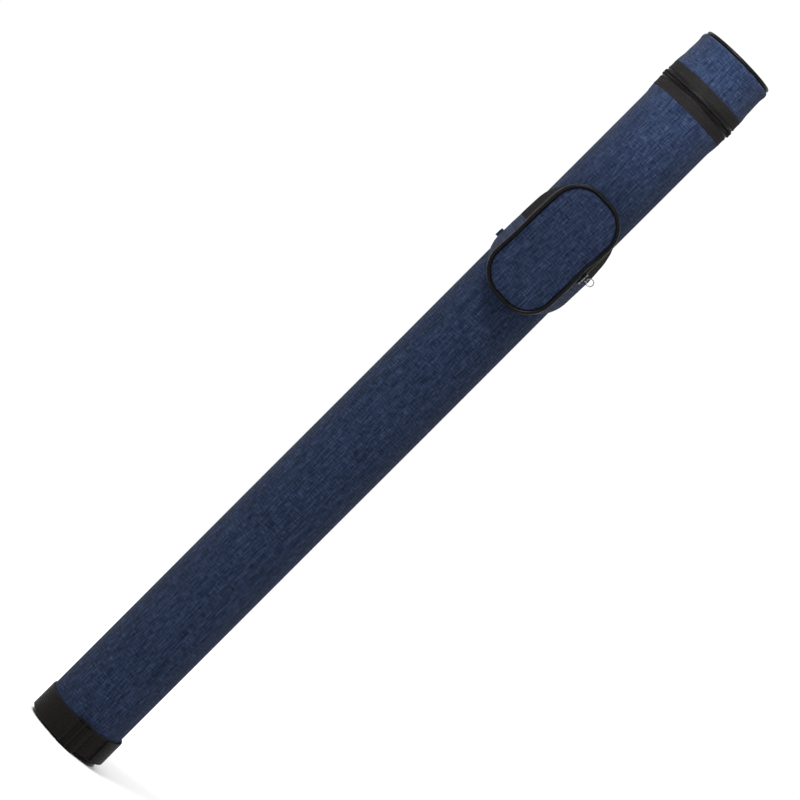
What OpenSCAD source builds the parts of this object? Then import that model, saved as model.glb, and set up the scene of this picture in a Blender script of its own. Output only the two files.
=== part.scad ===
// Slim round carry case: a stiff lined tube with a zip-round hinged lid,
// an accessory pocket on the front and a webbing strap on the back.
// The case stands on its foot. +Z runs along the tube, the pocket faces -Y, the lid hinge is at +Y.

/* [Tube] */
// Overall length, from the foot face to the top of the lid piping
case_len = 840; // [600:5:1100]
// Outer diameter of the covered tube
case_d = 76.4; // [62:0.2:96]
// Outer fabric with its backing
cover_t = 1.2; // [0.8:0.1:1.6]
// Wall of the stiff tube
core_t = 2.1; // [1.4:0.1:2.8]
// Plush lining
lining_t = 1.1; // [0.8:0.1:1.6]
// Glue line between layers that are bonded together
glue_gap = 0.1; // [0.05:0.05:0.2]

/* [Ends] */
// Fabric end panel
panel_t = 1.3; // [0.8:0.1:1.6]
// Stiff board behind an end panel
board_t = 2.7; // [2.2:0.1:3.4]
// Part of the board that plugs into the tube
plug_t = 1.4; // [1:0.1:3]
// Foam pad inside each end
pad_t = 6; // [3:0.5:12]
// Thickness of the piping cord round each end
end_pipe_d = 3.6; // [2.6:0.1:3.8]
// How far the piping cord's outside stays inside the cover
end_pipe_inset = 1.1; // [0.8:0.1:1.6]
// How far the piping stays off the standing surface
pipe_lift = 0.2; // [0.1:0.1:0.4]

/* [Lid and its zip] */
// Height of the lid above the zip's centre line
lid_h = 52.6; // [44:0.2:80]
// Zip centre line to the edge of either tape
band_h = 13.9; // [11:0.1:17]
// Width of one half of the zip's coil
coil_w = 3.8; // [3:0.1:4.6]
// Groove between coil and tape
coil_groove = 0.6; // [0.4:0.1:1]
// Gap between the two halves of the coil
coil_gap = 0.4; // [0.3:0.1:0.6]
// Thickness of the zip tape
tape_t = 1.2; // [0.8:0.1:1.6]
// How far the coil stands out over the cover's seam
coil_out = 2.3; // [1.9:0.1:2.8]
// Thickness of the binding on each mouth
binding_t = 1; // [0.6:0.1:1.4]
// Half of the gap between the two bindings
mouth_gap = 0.4; // [0.2:0.1:0.8]
// Half angle of the fabric hinge at the back
hinge_half = 40; // [30:1:44]
// Hinge line outside the hinge fabric
hinge_out = 0.2; // [0.1:0.1:0.5]

/* [Zip sliders] */
// Bearing of the closed slider, from the front towards +X
slider_bearing = 131; // [120:1:132]
// Main slider: length along the zip
slider_l = 10; // [8:0.5:12]
// Main slider: width across the zip
slider_w = 8.4; // [7:0.2:9]
// Main slider: thickness of its plate
slider_t = 1.3; // [1:0.1:1.8]
// Main slider: clearance over the coils, so that the lid swings open past it
slider_gap = 0.9; // [0.8:0.1:1.2]
// Main slider: height of the bridge's centre over the plate
bridge_h = 2.9; // [2.7:0.1:3.4]
// Main slider: thickness of the bridge
bridge_d = 1.2; // [1:0.1:1.4]
// Length of the pull tab
pull_l = 25; // [15:1:34]
// Width of the pull tab
pull_w = 7; // [5:0.5:9]
// Thickness of the pull tab
pull_t = 1.3; // [1:0.1:1.8]

/* [Pocket] */
// Length of the pocket front, over its piping
pocket_len = 126.5; // [100:0.5:160]
// Width of the pocket front, over its piping
pocket_w = 68.5; // [60:0.5:76]
// Height of the pocket's middle above the foot
pocket_z = 606.6; // [300:0.2:640]
// Sideways offset of the pocket
pocket_x = 1.6; // [-3:0.1:3]
// Lean of the pocket, towards +X at its top
pocket_lean = 1.9; // [0:0.1:3]
// How far the pocket front stands out from the tube
pocket_depth = 21.8; // [20:0.2:34]
// Corner radius at the piping's centre line
pocket_r = 27; // [22:0.5:29]
// Thickness of the pocket's piping
pocket_pipe_d = 3.5; // [2.8:0.1:4]
// Thickness of the padded front panel
pocket_panel_t = 1.6; // [1:0.1:2.4]
// Thickness of the gusset fabric
gusset_t = 1.4; // [1:0.1:2]
// How far the gusset bulges past the side of the tube
gusset_bulge = 3.6; // [1:0.1:4]
// Height of the flap's fold over the middle of the pocket
fold_up = 1.4; // [-4:0.2:6]
// Depth of the zip's centre behind the pocket's front face
pocket_zip_in = 12.3; // [11:0.1:14]
// Width of one half of the pocket zip's coil
pocket_coil_w = 2.5; // [2:0.1:3]
// Width of the tape behind the coil
pocket_tape_w = 7.6; // [5:0.2:9]
// Clearance at the flap's fold and between the coil halves
pocket_gap = 0.3; // [0.3:0.05:0.5]
// Length of the folded side tab, along the tube
tab_l = 8; // [5:0.5:14]
// How far the side tab stands out
tab_out = 2; // [1.2:0.1:3]

/* [Pocket slider] */
// Slider length along the zip
pocket_slider_l = 12; // [9:0.5:13]
// Slider width across the zip
pocket_slider_w = 8; // [6.5:0.5:9]
// Thickness of the slider's plate
pocket_slider_t = 0.9; // [0.8:0.1:1.3]
// Running clearance between the slider and the coil
pocket_slider_gap = 0.6; // [0.6:0.1:0.9]
// Height of the bridge's centre over the plate
pocket_bridge_h = 1.7; // [1.7:0.05:2]
// Outside diameter of the ring pull
ring_d = 7.7; // [7:0.1:10]
// Wire of the ring pull
ring_wire = 0.9; // [0.7:0.1:1]

/* [Strap] */
// Width of the webbing
web_w = 25.2; // [19:0.2:26]
// Thickness of the webbing
web_t = 1.2; // [0.9:0.1:1.4]
// Air between two lengths of webbing, and between webbing and cover
web_gap = 0.15; // [0.1:0.05:0.3]
// Height of the foot loop's middle on the tube's axis
loop_z = 19; // [18.8:0.1:60]
// Rise of the foot loop, from front to back
loop_rise = 5.3; // [0:0.1:6]
// Lean of the foot loop, up towards +X
loop_lean = 1.85; // [0:0.05:3]
// Bearing of the folded end of the strap's lower layer
lead_bearing = 50; // [48:1:70]
// Top of the sewn-on end of the strap, below the zip band
strap_top_in = 26; // [20:1:80]
// Height of the patch that the strap is sewn to
patch_h = 54; // [40:1:70]
// Half angle of that patch
patch_half = 25; // [22:1:32]

/* [Tri-glide] */
// Width of the tri-glide along the webbing
glide_w = 18; // [16:0.5:22]
// Bearing of its middle
glide_bearing = 8.6; // [0:0.1:12]
// Thickness of its outer bars
glide_t = 2.1; // [1.8:0.1:2.6]
// Width of an outer bar
glide_bar = 2.9; // [2.4:0.1:3.2]
// Width of the centre bar
glide_mid = 2.4; // [2.2:0.1:3]
// Height of the rail at each end of the bars
glide_rail = 1.5; // [1.2:0.1:2]
// Room for the webbing inside the frame
glide_room = 1.6; // [1.2:0.1:2]
// Length of the strap's free tail beyond the frame
tail_l = 9.5; // [4:0.5:16]
// Clearance between the tri-glide and the webbing that it slides over
glide_gap = 0.4; // [0.3:0.1:0.6]

/* [Hidden] */
$fn = 96;

NAVY = "#2b3a5c";
BLACK = "#201c1a";
STEEL = "#9a9a9c";
LINING = "#26262a";

// Radii, from the outside in
tube_r = case_d / 2;
cover_in = tube_r - cover_t;
core_r = cover_in - glue_gap;
core_in = core_r - core_t;
lining_r = core_in - glue_gap;
lining_in = lining_r - lining_t;
seam_r = tube_r - glue_gap;
tape_in = tube_r;
tape_r = tape_in + tape_t;
coil_r = tube_r + coil_out;
hinge_y = tape_r + hinge_out;

// End caps
end_pipe_r = end_pipe_d / 2;
pipe_ring_r = tube_r - end_pipe_inset - end_pipe_r;
end_r = pipe_ring_r - end_pipe_r - 2 * glue_gap;
pipe_top = pipe_lift + end_pipe_d;
board_z = panel_t + glue_gap;
plug_z = board_z + board_t;
core_z = plug_z + glue_gap;
pad_z = plug_z + plug_t + glue_gap;
lining_z = pad_z + pad_t + glue_gap;

// Heights at the mouth
zip_z = case_len - lid_h;
rim_z = zip_z - mouth_gap - binding_t - glue_gap;
lid_rim_z = zip_z + mouth_gap + binding_t + glue_gap;
tape_z = zip_z - band_h;
tape_top = zip_z + band_h;
coil_z = zip_z - coil_gap / 2 - coil_w;
lid_top = case_len - pipe_lift - glue_gap;
flare_h = 9;

// Pocket
pocket_pipe_r = pocket_pipe_d / 2;
face_y = -(tube_r + pocket_depth);
pipe_y = face_y + pocket_pipe_r - 0.65;
gusset_y = pipe_y + pocket_pipe_r + 0.15;
zip_y = face_y + pocket_zip_in;
half_w = pocket_w / 2 - pocket_pipe_r;
half_l = pocket_len / 2 - pocket_pipe_r;
panel_inset = pocket_pipe_r + glue_gap;
bulge_y = -0.42 * tube_r;
bulge_w = tube_r + gusset_bulge;
bulge_l = half_l + 1;
bulge_r = bulge_w - 1;
foot_of_gusset_y = -0.13 * tube_r;
form_y = gusset_y - 1;
flare_slope = (bulge_w - half_w) / (bulge_y - form_y);
flare_angle = atan(flare_slope);
wall_x = half_w + (zip_y - form_y) * flare_slope;
pocket_coil_out = 0.5;

// Webbing layers, from the cover out
loop_in = tube_r + web_gap;
loop_r = loop_in + web_t;
lead_in = loop_r + web_gap;
lead_r = lead_in + web_t;
strap_top = tape_z - strap_top_in;
strap_foot = 22;

// Tri-glide
glide_in = loop_r + glide_gap;
glide_r = glide_in + glide_t;
under_r = glide_in + web_t;
mid_in = under_r + 0.25;
mid_r = mid_in + 0.9;
over_in = glide_r + 0.1;
over_r = over_in + web_t;
glide_half_h = (web_w + glide_room) / 2 + glide_rail;
glide_z = glide_half_h + 0.3;
fold_z = glide_z - 0.6;
wall_gap = 0.15;

function arc_deg(mm, r) = mm / r * 180 / PI;

// ---------- Shapes used by several pieces ----------

module ring(r_in, r_out, z0, z1) {
    difference() {
        translate([0, 0, z0]) cylinder(r = r_out, h = z1 - z0);
        translate([0, 0, z0 - 1]) cylinder(r = r_in, h = z1 - z0 + 2);
    }
}

module disc(r, z0, z1) {
    translate([0, 0, z0]) cylinder(r = r, h = z1 - z0);
}

// A band round the tube between two bearings, counted from the front towards +X
module arc_band(r_in, r_out, z0, z1, from, to) {
    translate([0, 0, z0])
        rotate([0, 0, from - 90])
            rotate_extrude(angle = to - from)
                translate([r_in, 0]) square([r_out - r_in, z1 - z0]);
}

module at_bearing(bearing) {
    rotate([0, 0, bearing - 90]) children();
}

module torus(r_ring, r_wire) {
    rotate_extrude() translate([r_ring, 0]) circle(r = r_wire, $fn = 48);
}

// ---------- Foot ----------

module foot_panel() {
    color(NAVY) disc(end_r, 0, panel_t);
}

module foot_board() {
    color(BLACK) {
        disc(end_r, board_z, plug_z);
        disc(lining_r, plug_z, plug_z + plug_t);
    }
}

module foot_piping() {
    color(BLACK) translate([0, 0, pipe_lift + end_pipe_r]) torus(pipe_ring_r, end_pipe_r);
}

module foot_pad() {
    color(LINING) disc(lining_r, pad_z, pad_z + pad_t);
}

// ---------- Tube ----------

module core_tube() {
    color(LINING) ring(core_in, core_r, core_z, rim_z);
}

module tube_lining() {
    color(LINING) ring(lining_in, lining_r, lining_z, rim_z);
}

// The cover turns in to the foot piping, and flares out to the zip band's edge
module body_cover() {
    color(NAVY)
        rotate_extrude()
            polygon([
                [cover_in, pipe_top + glue_gap],
                [cover_in + 0.4, pipe_top + glue_gap],
                [tube_r, pipe_top + 4],
                [tube_r, tape_z - flare_h],
                [tape_r - glue_gap, tape_z - 2 * glue_gap],
                [seam_r, tape_z],
                [seam_r, rim_z],
                [cover_in, rim_z]
            ]);
}

module mouth_binding() {
    color(BLACK) ring(lining_in + glue_gap, seam_r, rim_z + glue_gap, zip_z - mouth_gap);
}

// ---------- Main zip and hinge ----------

module zip_arc(r_in, r_out, z0, z1) {
    reach = 180 - hinge_half - 0.5;
    arc_band(r_in, r_out, z0, z1, -reach, reach);
}

module hinge_arc(z0, z1) {
    arc_band(tape_in, tape_r, z0, z1, 180 - hinge_half, 180 + hinge_half);
}

module zip_tape_body() {
    color(BLACK) zip_arc(tape_in, tape_r, tape_z, coil_z - coil_groove);
}

module zip_coil_body() {
    color("#100d0e") zip_arc(tape_in, coil_r, coil_z, coil_z + coil_w);
}

module hinge_strip_body() {
    color(NAVY) hinge_arc(tape_z, zip_z - coil_gap / 2);
}

module zip_tape_lid() {
    color(BLACK) zip_arc(tape_in, tape_r, zip_z + coil_gap / 2 + coil_w + coil_groove, tape_top);
}

module zip_coil_lid() {
    color("#100d0e") zip_arc(tape_in, coil_r, zip_z + coil_gap / 2, zip_z + coil_gap / 2 + coil_w);
}

module hinge_strip_lid() {
    color(NAVY) hinge_arc(zip_z + coil_gap / 2, tape_top);
}

// ---------- Lid ----------

module lid_core() {
    color(LINING) ring(core_in, core_r, lid_rim_z, case_len - core_z);
}

module lid_lining() {
    color(LINING) ring(lining_in, lining_r, lid_rim_z, lid_top - lining_z);
}

// The lid cover draws in a little above the band and stands out again at the end seam
module lid_cover() {
    top = case_len - pipe_top - glue_gap;
    color(NAVY)
        rotate_extrude()
            polygon([
                [cover_in, lid_rim_z],
                [seam_r, lid_rim_z],
                [seam_r, tape_top],
                [tape_r - glue_gap, tape_top + 2 * glue_gap],
                [tube_r + 0.2, tape_top + flare_h],
                [tube_r - 0.3, top - 9],
                [tube_r + 0.3, top - 3],
                [cover_in + 0.6, top],
                [cover_in, top]
            ]);
}

module lid_binding() {
    color(BLACK) ring(lining_in + glue_gap, seam_r, zip_z + mouth_gap, lid_rim_z - glue_gap);
}

module lid_board() {
    color(BLACK) {
        disc(end_r, lid_top - plug_z, lid_top - board_z);
        disc(lining_r, lid_top - plug_z - plug_t, lid_top - plug_z);
    }
}

module lid_panel() {
    color(NAVY) disc(end_r, lid_top - panel_t, lid_top);
}

module lid_piping() {
    color(BLACK) translate([0, 0, case_len - end_pipe_r]) torus(pipe_ring_r, end_pipe_r);
}

module lid_pad() {
    color(LINING) disc(lining_r, lid_top - pad_z - pad_t, lid_top - pad_z);
}

// ---------- Main slider ----------

slider_in = coil_r + slider_gap;
bridge_r = slider_in + slider_t + bridge_h;
loop_wire = 0.45;
pull_loop_r = 2;
pull_drop = pull_loop_r - loop_wire - bridge_d / 2 - 0.15;

module main_slider() {
    color(STEEL)
        at_bearing(slider_bearing) {
            translate([slider_in, -slider_l / 2, zip_z - slider_w / 2])
                cube([slider_t, slider_l, slider_w]);
            translate([bridge_r, 0, zip_z])
                rotate([90, 0, 0]) cylinder(d = bridge_d, h = slider_l - 2, center = true);
            for (side = [-1, 1])
                translate([slider_in + slider_t / 2, side * (slider_l / 2 - 1.6), zip_z])
                    rotate([0, 90, 0]) cylinder(d = bridge_d + 0.4, h = bridge_h + slider_t / 2);
        }
}

// A wire loop hangs on the bridge, with the tab moulded on it
module main_pull() {
    color(BLACK)
        at_bearing(slider_bearing)
            translate([bridge_r, 0, zip_z - pull_drop]) {
                rotate([90, 0, 0]) torus(pull_loop_r, loop_wire);
                translate([-pull_t / 2, -pull_w / 2, -pull_loop_r - pull_l + 0.3])
                    cube([pull_t, pull_w, pull_l]);
            }
}

// ---------- Pocket ----------

module at_pocket() {
    translate([pocket_x, 0, pocket_z]) rotate([0, pocket_lean, 0]) children();
}

// Four round corners of one outline of the pocket
module pocket_corners(w, l, r, y) {
    for (sx = [-1, 1], sz = [-1, 1])
        translate([sx * (w - r), y, sz * (l - r)])
            rotate([-90, 0, 0]) cylinder(r = r, h = 0.2, $fn = 40);
}

// Outside of the pocket: it widens from the front to the flanks of the tube, then turns in to it
module pocket_form(grow) {
    hull() {
        pocket_corners(half_w + grow, half_l + grow, pocket_r + grow, form_y);
        pocket_corners(bulge_w + grow, bulge_l + grow, bulge_r + grow, bulge_y);
        pocket_corners(tube_r - 0.6 + grow, bulge_l + grow, pocket_r + 5 + grow, foot_of_gusset_y);
    }
}

module pocket_wall(y0, y1, z0, z1, thick, proud) {
    difference() {
        at_pocket()
            intersection() {
                difference() {
                    pocket_form(proud);
                    pocket_form(-thick);
                }
                translate([-100, y0, z0]) cube([200, y1 - y0, z1 - z0]);
            }
        translate([0, 0, -10]) cylinder(r = tube_r + glue_gap, h = case_len + 20);
    }
}

fold_lo = fold_up - pocket_gap / 2;
fold_hi = fold_up + pocket_gap / 2;
far = 200;

module rounded_outline(w, l, r) {
    square([2 * (w - r), 2 * l], center = true);
    square([2 * w, 2 * (l - r)], center = true);
    for (sx = [-1, 1], sz = [-1, 1])
        translate([sx * (w - r), sz * (l - r)]) circle(r = r);
}

// Padded front panel, cut to one side of the fold
module front_panel(z0, z1) {
    at_pocket()
        translate([0, face_y + pocket_panel_t, 0])
            rotate([90, 0, 0])
                linear_extrude(height = pocket_panel_t)
                    intersection() {
                        rounded_outline(half_w - panel_inset, half_l - panel_inset, pocket_r - panel_inset);
                        translate([-far, z0]) square([2 * far, z1 - z0]);
                    }
}

// Piping round one end of the pocket: two straight sides, two corners and the end between them
module half_piping(side, from) {
    straight = half_l - pocket_r - side * from;
    at_pocket()
        translate([0, pipe_y, 0])
            for (sx = [-1, 1]) {
                translate([sx * half_w, 0, side * (half_l - pocket_r) - (side + 1) / 2 * straight])
                    cylinder(r = pocket_pipe_r, h = straight);
                translate([sx * (half_w - pocket_r), 0, side * (half_l - pocket_r)])
                    rotate([90, 0, 0])
                        rotate([0, 0, sx > 0 ? (side > 0 ? 0 : -90) : (side > 0 ? 90 : 180)])
                            rotate_extrude(angle = 90) translate([pocket_r, 0]) circle(r = pocket_pipe_r);
                translate([0, 0, side * half_l])
                    rotate([0, sx * 90, 0]) cylinder(r = pocket_pipe_r, h = half_w - pocket_r);
            }
}

module pocket_gusset() {
    color(NAVY) pocket_wall(gusset_y, 0, -far, fold_lo, gusset_t, 0);
}

module pocket_gusset_flanks() {
    color(BLACK) pocket_wall(zip_y + pocket_gap / 2 + pocket_coil_w + pocket_tape_w + glue_gap, 0,
                            fold_lo + glue_gap, far, gusset_t, 0);
}

module pocket_panel() {
    color(NAVY) front_panel(-far, fold_lo);
}

module pocket_piping() {
    color(BLACK) half_piping(-1, fold_lo);
}

module pocket_zip_tape_rear() {
    y0 = zip_y + pocket_gap / 2 + pocket_coil_w;
    color(BLACK) pocket_wall(y0, y0 + pocket_tape_w, fold_lo + glue_gap, far, 1, 0);
}

module pocket_zip_coil_rear() {
    y0 = zip_y + pocket_gap / 2;
    color("#100d0e") pocket_wall(y0, y0 + pocket_coil_w, fold_lo + glue_gap, far, 1, pocket_coil_out);
}

module flap_panel() {
    color(NAVY) front_panel(fold_hi, far);
}

module flap_piping() {
    color(BLACK) half_piping(1, fold_hi);
}

module pocket_zip_tape_front() {
    color(BLACK) pocket_wall(gusset_y, zip_y - pocket_gap / 2 - pocket_coil_w, fold_hi, far, 1, 0);
}

module pocket_zip_coil_front() {
    y1 = zip_y - pocket_gap / 2;
    color("#100d0e") pocket_wall(y1 - pocket_coil_w, y1, fold_hi, far, 1, pocket_coil_out);
}

// Frame on the +X flank of the pocket, at the zip: X points out of the gusset, Z along the zip
module at_pocket_slider() {
    at_pocket()
        translate([wall_x, zip_y, fold_up])
            rotate([0, 0, -flare_angle])
                children();
}

plate_x = pocket_coil_out + pocket_slider_gap;
bar_x = plate_x + pocket_slider_t + pocket_bridge_h;
bar_r = 0.45;
link_wire = 0.3;
link_in = bar_x - bar_r - link_wire - 0.15;
ring_r = (ring_d - ring_wire) / 2;
ring_x = bar_x + bar_r + ring_wire / 2 + 0.15 + ring_r;
ring_up = 2.2;
ring_at_link = ring_x - sqrt(ring_r * ring_r - ring_up * ring_up);
link_out = ring_at_link + ring_wire / 2 + link_wire + 0.15;

module pocket_slider() {
    color(STEEL)
        at_pocket_slider() {
            translate([plate_x, -pocket_slider_w / 2, -pocket_slider_l / 2])
                cube([pocket_slider_t, pocket_slider_w, pocket_slider_l]);
            translate([bar_x, 0, 0]) cylinder(r = bar_r, h = 6, center = true, $fn = 32);
            for (side = [-1, 1])
                translate([plate_x + pocket_slider_t / 2, 0, side * 2.5])
                    rotate([0, 90, 0])
                        cylinder(r = bar_r, h = pocket_bridge_h + pocket_slider_t / 2, $fn = 32);
        }
}

// A small link on the slider's bridge, and the ring through it
module pocket_ring() {
    color(STEEL)
        at_pocket_slider() {
            translate([(link_in + link_out) / 2, 0, 0]) torus((link_out - link_in) / 2, link_wire);
            translate([ring_x, 0, ring_up]) rotate([90, 0, 0]) torus(ring_r, ring_wire / 2);
        }
}

// A folded end of fabric, caught in the gusset's seam on the -X flank
module side_tab() {
    tab_y = bulge_y + 1.5;
    color(NAVY)
        at_pocket()
            translate([-bulge_w - tab_out, tab_y, -22.6])
                hull() {
                    translate([0.9, 0, -tab_l / 2 + 1]) cube([tab_out - 1, 2.4, tab_l - 2]);
                    translate([0.6, 0.6, -tab_l / 2]) cube([tab_out - 0.7, 1.2, tab_l]);
                    translate([0, 0.9, -tab_l / 2 + 0.6]) cube([tab_out - 0.1, 0.6, tab_l - 1.2]);
                }
}

// ---------- Strap ----------

// The foot loop's webbing lies in a slab that rises to the back and leans up to +X
module loop_slab() {
    translate([0, 0, loop_z])
        rotate([loop_rise, -loop_lean, 0])
            cube([4 * tube_r, 4 * tube_r, web_w], center = true);
}

module foot_loop() {
    color(BLACK)
        intersection() {
            ring(loop_in, loop_r, -20, 60 + loop_z);
            loop_slab();
        }
}

// Second length of webbing over the loop, round the +X flank to the strap at the back
module strap_lead() {
    color(BLACK)
        intersection() {
            arc_band(lead_in, lead_r, -20, 60 + loop_z, lead_bearing, 180 - asin((web_w / 2 + 1) / lead_in));
            loop_slab();
        }
}

// The strap runs up the back, a little off the cover, to the sewn patch
module strap_back() {
    color(BLACK)
        translate([-web_w / 2, lead_in, strap_foot - 9])
            cube([web_w, web_t, strap_top - strap_foot + 9]);
}

module strap_patch() {
    color(NAVY)
        arc_band(tube_r + glue_gap, loop_r - 0.2, strap_top + 7 - patch_h, strap_top + 7,
                 180 - patch_half, 180 + patch_half);
}

// ---------- Tri-glide ----------

// A point at a radius, so many millimetres round from the middle of the tri-glide
function glide_point(r, mm) =
    let (a = glide_bearing - 90 + arc_deg(mm, glide_r)) [r * cos(a), r * sin(a)];

function glide_row(r, mm0, mm1, steps) =
    [for (i = [0:steps]) glide_point(r, mm0 + (mm1 - mm0) * i / steps)];

// A block that follows the tube in short flats, so that its faces are true planes
module glide_arc(r0, r1, z0, z1, mm0, mm1) {
    steps = 6;
    translate([0, 0, z0])
        linear_extrude(height = z1 - z0)
            polygon(concat(glide_row(r0, mm0, mm1, steps), glide_row(r1, mm1, mm0, steps)));
}

// One moulding: a flat frame with a raised centre bar, a window each side of it and a channel under it
module tri_glide() {
    half = glide_w / 2;
    inner = half - glide_bar;
    lo = glide_z - glide_half_h;
    hi = glide_z + glide_half_h;
    color("#2c2b2a")
        difference() {
            union() {
                glide_arc(glide_in, glide_r, lo, hi, -half, half);
                glide_arc(glide_in + 0.5, mid_r, lo, hi, -glide_mid / 2, glide_mid / 2);
            }
            glide_arc(glide_in - 1, mid_in, lo + glide_rail, hi - glide_rail, -inner, inner);
            for (side = [-1, 1])
                glide_arc(glide_in - 1, mid_r + 1, lo + glide_rail, hi - glide_rail,
                          min(side * inner, side * glide_mid / 2), max(side * inner, side * glide_mid / 2));
        }
}

// The strap's end goes over an outer bar, under the centre bar and over the other outer bar
module glide_fold() {
    half = glide_w / 2;
    bar_in = half - glide_bar - wall_gap;
    bar_out = half + wall_gap;
    outline = concat(
        glide_row(glide_in, -bar_out - tail_l, -bar_out, 4),
        glide_row(over_in, -bar_out, -bar_in, 2),
        glide_row(glide_in, -bar_in, bar_in, 6),
        glide_row(over_in, bar_in, bar_out, 2),
        glide_row(glide_in, bar_out, bar_out + web_t, 1),
        glide_row(over_r, bar_out + web_t, bar_in - web_t, 3),
        glide_row(under_r, bar_in - web_t, -bar_in + web_t, 6),
        glide_row(over_r, -bar_in + web_t, -bar_out - web_t, 3),
        glide_row(under_r, -bar_out - web_t, -bar_out - tail_l, 4)
    );
    color(BLACK)
        translate([0, 0, fold_z - web_w / 2])
            linear_extrude(height = web_w) polygon(outline);
}

foot_panel();
foot_board();
foot_piping();
foot_pad();
core_tube();
tube_lining();
body_cover();
mouth_binding();
zip_tape_body();
zip_coil_body();
hinge_strip_body();
lid_core();
lid_lining();
lid_cover();
lid_binding();
lid_board();
lid_panel();
lid_piping();
lid_pad();
zip_tape_lid();
zip_coil_lid();
hinge_strip_lid();
main_slider();
main_pull();
pocket_gusset();
pocket_gusset_flanks();
pocket_panel();
pocket_piping();
pocket_zip_tape_rear();
pocket_zip_coil_rear();
flap_panel();
flap_piping();
pocket_zip_tape_front();
pocket_zip_coil_front();
pocket_slider();
pocket_ring();
side_tab();
foot_loop();
strap_lead();
strap_back();
strap_patch();
tri_glide();
glide_fold();
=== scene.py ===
"""A slim round carry case in navy melange cloth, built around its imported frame.

The case stands on its foot: +Z runs up the tube, the pocket faces -Y, and the lid's hinge is at +Y.
Sizes in the sections are in millimetres, and every mesh is made in metres.
"""

import math
import random

import bmesh
import bpy
import numpy as np
from mathutils import Matrix, Vector


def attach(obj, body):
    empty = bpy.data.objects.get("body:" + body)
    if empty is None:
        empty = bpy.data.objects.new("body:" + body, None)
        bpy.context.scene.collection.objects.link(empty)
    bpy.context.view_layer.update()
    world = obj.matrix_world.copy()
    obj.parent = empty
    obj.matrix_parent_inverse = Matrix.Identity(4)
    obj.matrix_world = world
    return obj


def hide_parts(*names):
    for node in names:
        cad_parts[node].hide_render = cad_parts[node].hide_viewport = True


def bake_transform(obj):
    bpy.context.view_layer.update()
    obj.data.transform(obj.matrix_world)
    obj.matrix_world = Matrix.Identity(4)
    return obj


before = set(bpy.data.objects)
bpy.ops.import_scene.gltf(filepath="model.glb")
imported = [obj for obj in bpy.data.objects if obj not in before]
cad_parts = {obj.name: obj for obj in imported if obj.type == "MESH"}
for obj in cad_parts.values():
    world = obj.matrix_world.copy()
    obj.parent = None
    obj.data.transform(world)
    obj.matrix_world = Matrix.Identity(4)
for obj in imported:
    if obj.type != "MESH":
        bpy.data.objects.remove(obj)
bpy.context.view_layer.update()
MM = 0.001


# ---- Camera -------------------------------------------------------------------------------------
# A long lens looks along +Y at the pocket side from 3.6 m, a little above the tube's middle,
# and is rolled so that the tube runs up to the right.
CAMERA_PLACE = Vector((0.0, -3.6, 0.50))
CAMERA_TARGET = Vector((0.0, 0.0, 0.42))
ROLL = math.radians(45)

camera_data = bpy.data.cameras.new("camera")
camera_data.sensor_width = 36
camera_data.lens = 184.7
camera_data.clip_end = 40
camera = bpy.data.objects.new("camera", camera_data)
bpy.context.scene.collection.objects.link(camera)
looking = (CAMERA_TARGET - CAMERA_PLACE).normalized()
level_right = looking.cross(Vector((0, 0, 1))).normalized()
level_up = level_right.cross(looking)
right = level_right * math.cos(ROLL) + level_up * math.sin(ROLL)
up = level_up * math.cos(ROLL) - level_right * math.sin(ROLL)
turned = Matrix((right, up, -looking)).transposed().to_4x4()
camera.matrix_world = Matrix.Translation(CAMERA_PLACE) @ turned
bpy.context.scene.camera = camera


# ---- Light and floor ----------------------------------------------------------------------------
# A white light tent: an even white surround, a large soft key from the lid side of the pocket face,
# a weaker fill from the foot side, and a narrow light that lifts the lid.
scene = bpy.context.scene
scene.view_settings.view_transform = "Standard"
world = bpy.data.worlds.new("surround")
world.use_nodes = True
world.node_tree.nodes["Background"].inputs["Color"].default_value = (1.0, 1.0, 1.0, 1)
world.node_tree.nodes["Background"].inputs["Strength"].default_value = 1.06
scene.world = world


def soft_light(name, place, target, size, power, spread=180):
    """A square area light that faces its target. spread narrows its beam, in degrees."""
    data = bpy.data.lights.new(name, "AREA")
    data.size = size
    data.energy = power
    data.spread = math.radians(spread)
    light = bpy.data.objects.new(name, data)
    light.location = place
    light.rotation_euler = (Vector(target) - Vector(place)).to_track_quat("-Z", "Y").to_euler()
    scene.collection.objects.link(light)


soft_light("key", (-0.62, -0.95, 1.55), (0, 0, 0.6), 0.5, 22)
soft_light("fill", (1.3, -2.2, 0.3), (0, 0, 0.4), 1.4, 5)
soft_light("lid_glow", (-0.15, -1.0, 1.15), (0, 0, 0.83), 0.2, 0.30, 16)

floor_mesh = bpy.data.meshes.new("floor")
FLOOR = 30.0
floor_mesh.from_pydata([(-FLOOR, -FLOOR, 0), (FLOOR, -FLOOR, 0), (FLOOR, FLOOR, 0), (-FLOOR, FLOOR, 0)],
                       [], [(0, 1, 2, 3)])
floor = bpy.data.objects.new("floor", floor_mesh)
scene.collection.objects.link(floor)
floor_paint = bpy.data.materials.new("floor_paint")
floor_paint.use_nodes = True
floor_paint.node_tree.nodes["Principled BSDF"].inputs["Base Color"].default_value = (0.96, 0.96, 0.96, 1)
floor_paint.node_tree.nodes["Principled BSDF"].inputs["Roughness"].default_value = 0.9
floor_paint.node_tree.nodes["Principled BSDF"].inputs["Specular IOR Level"].default_value = 0.0
floor_mesh.materials.append(floor_paint)


# ---- Tube cover ---------------------------------------------------------------------------------
# The outer cover is two-tone polyester: navy threads woven with paler and darker ones, so that it
# looks cross-hatched, with long darker slubs. It is bonded to the stiff tube, turned in at the foot
# piping, and runs under the zip's tape at the mouth.
TUBE_R = 38.2
COVER_T = 1.2
COVER_FOOT = 3.9
ZIP_Z = 787.4
BAND_H = 13.9
TAPE_T = 1.2
TAPE_EDGE = ZIP_Z - BAND_H


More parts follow.
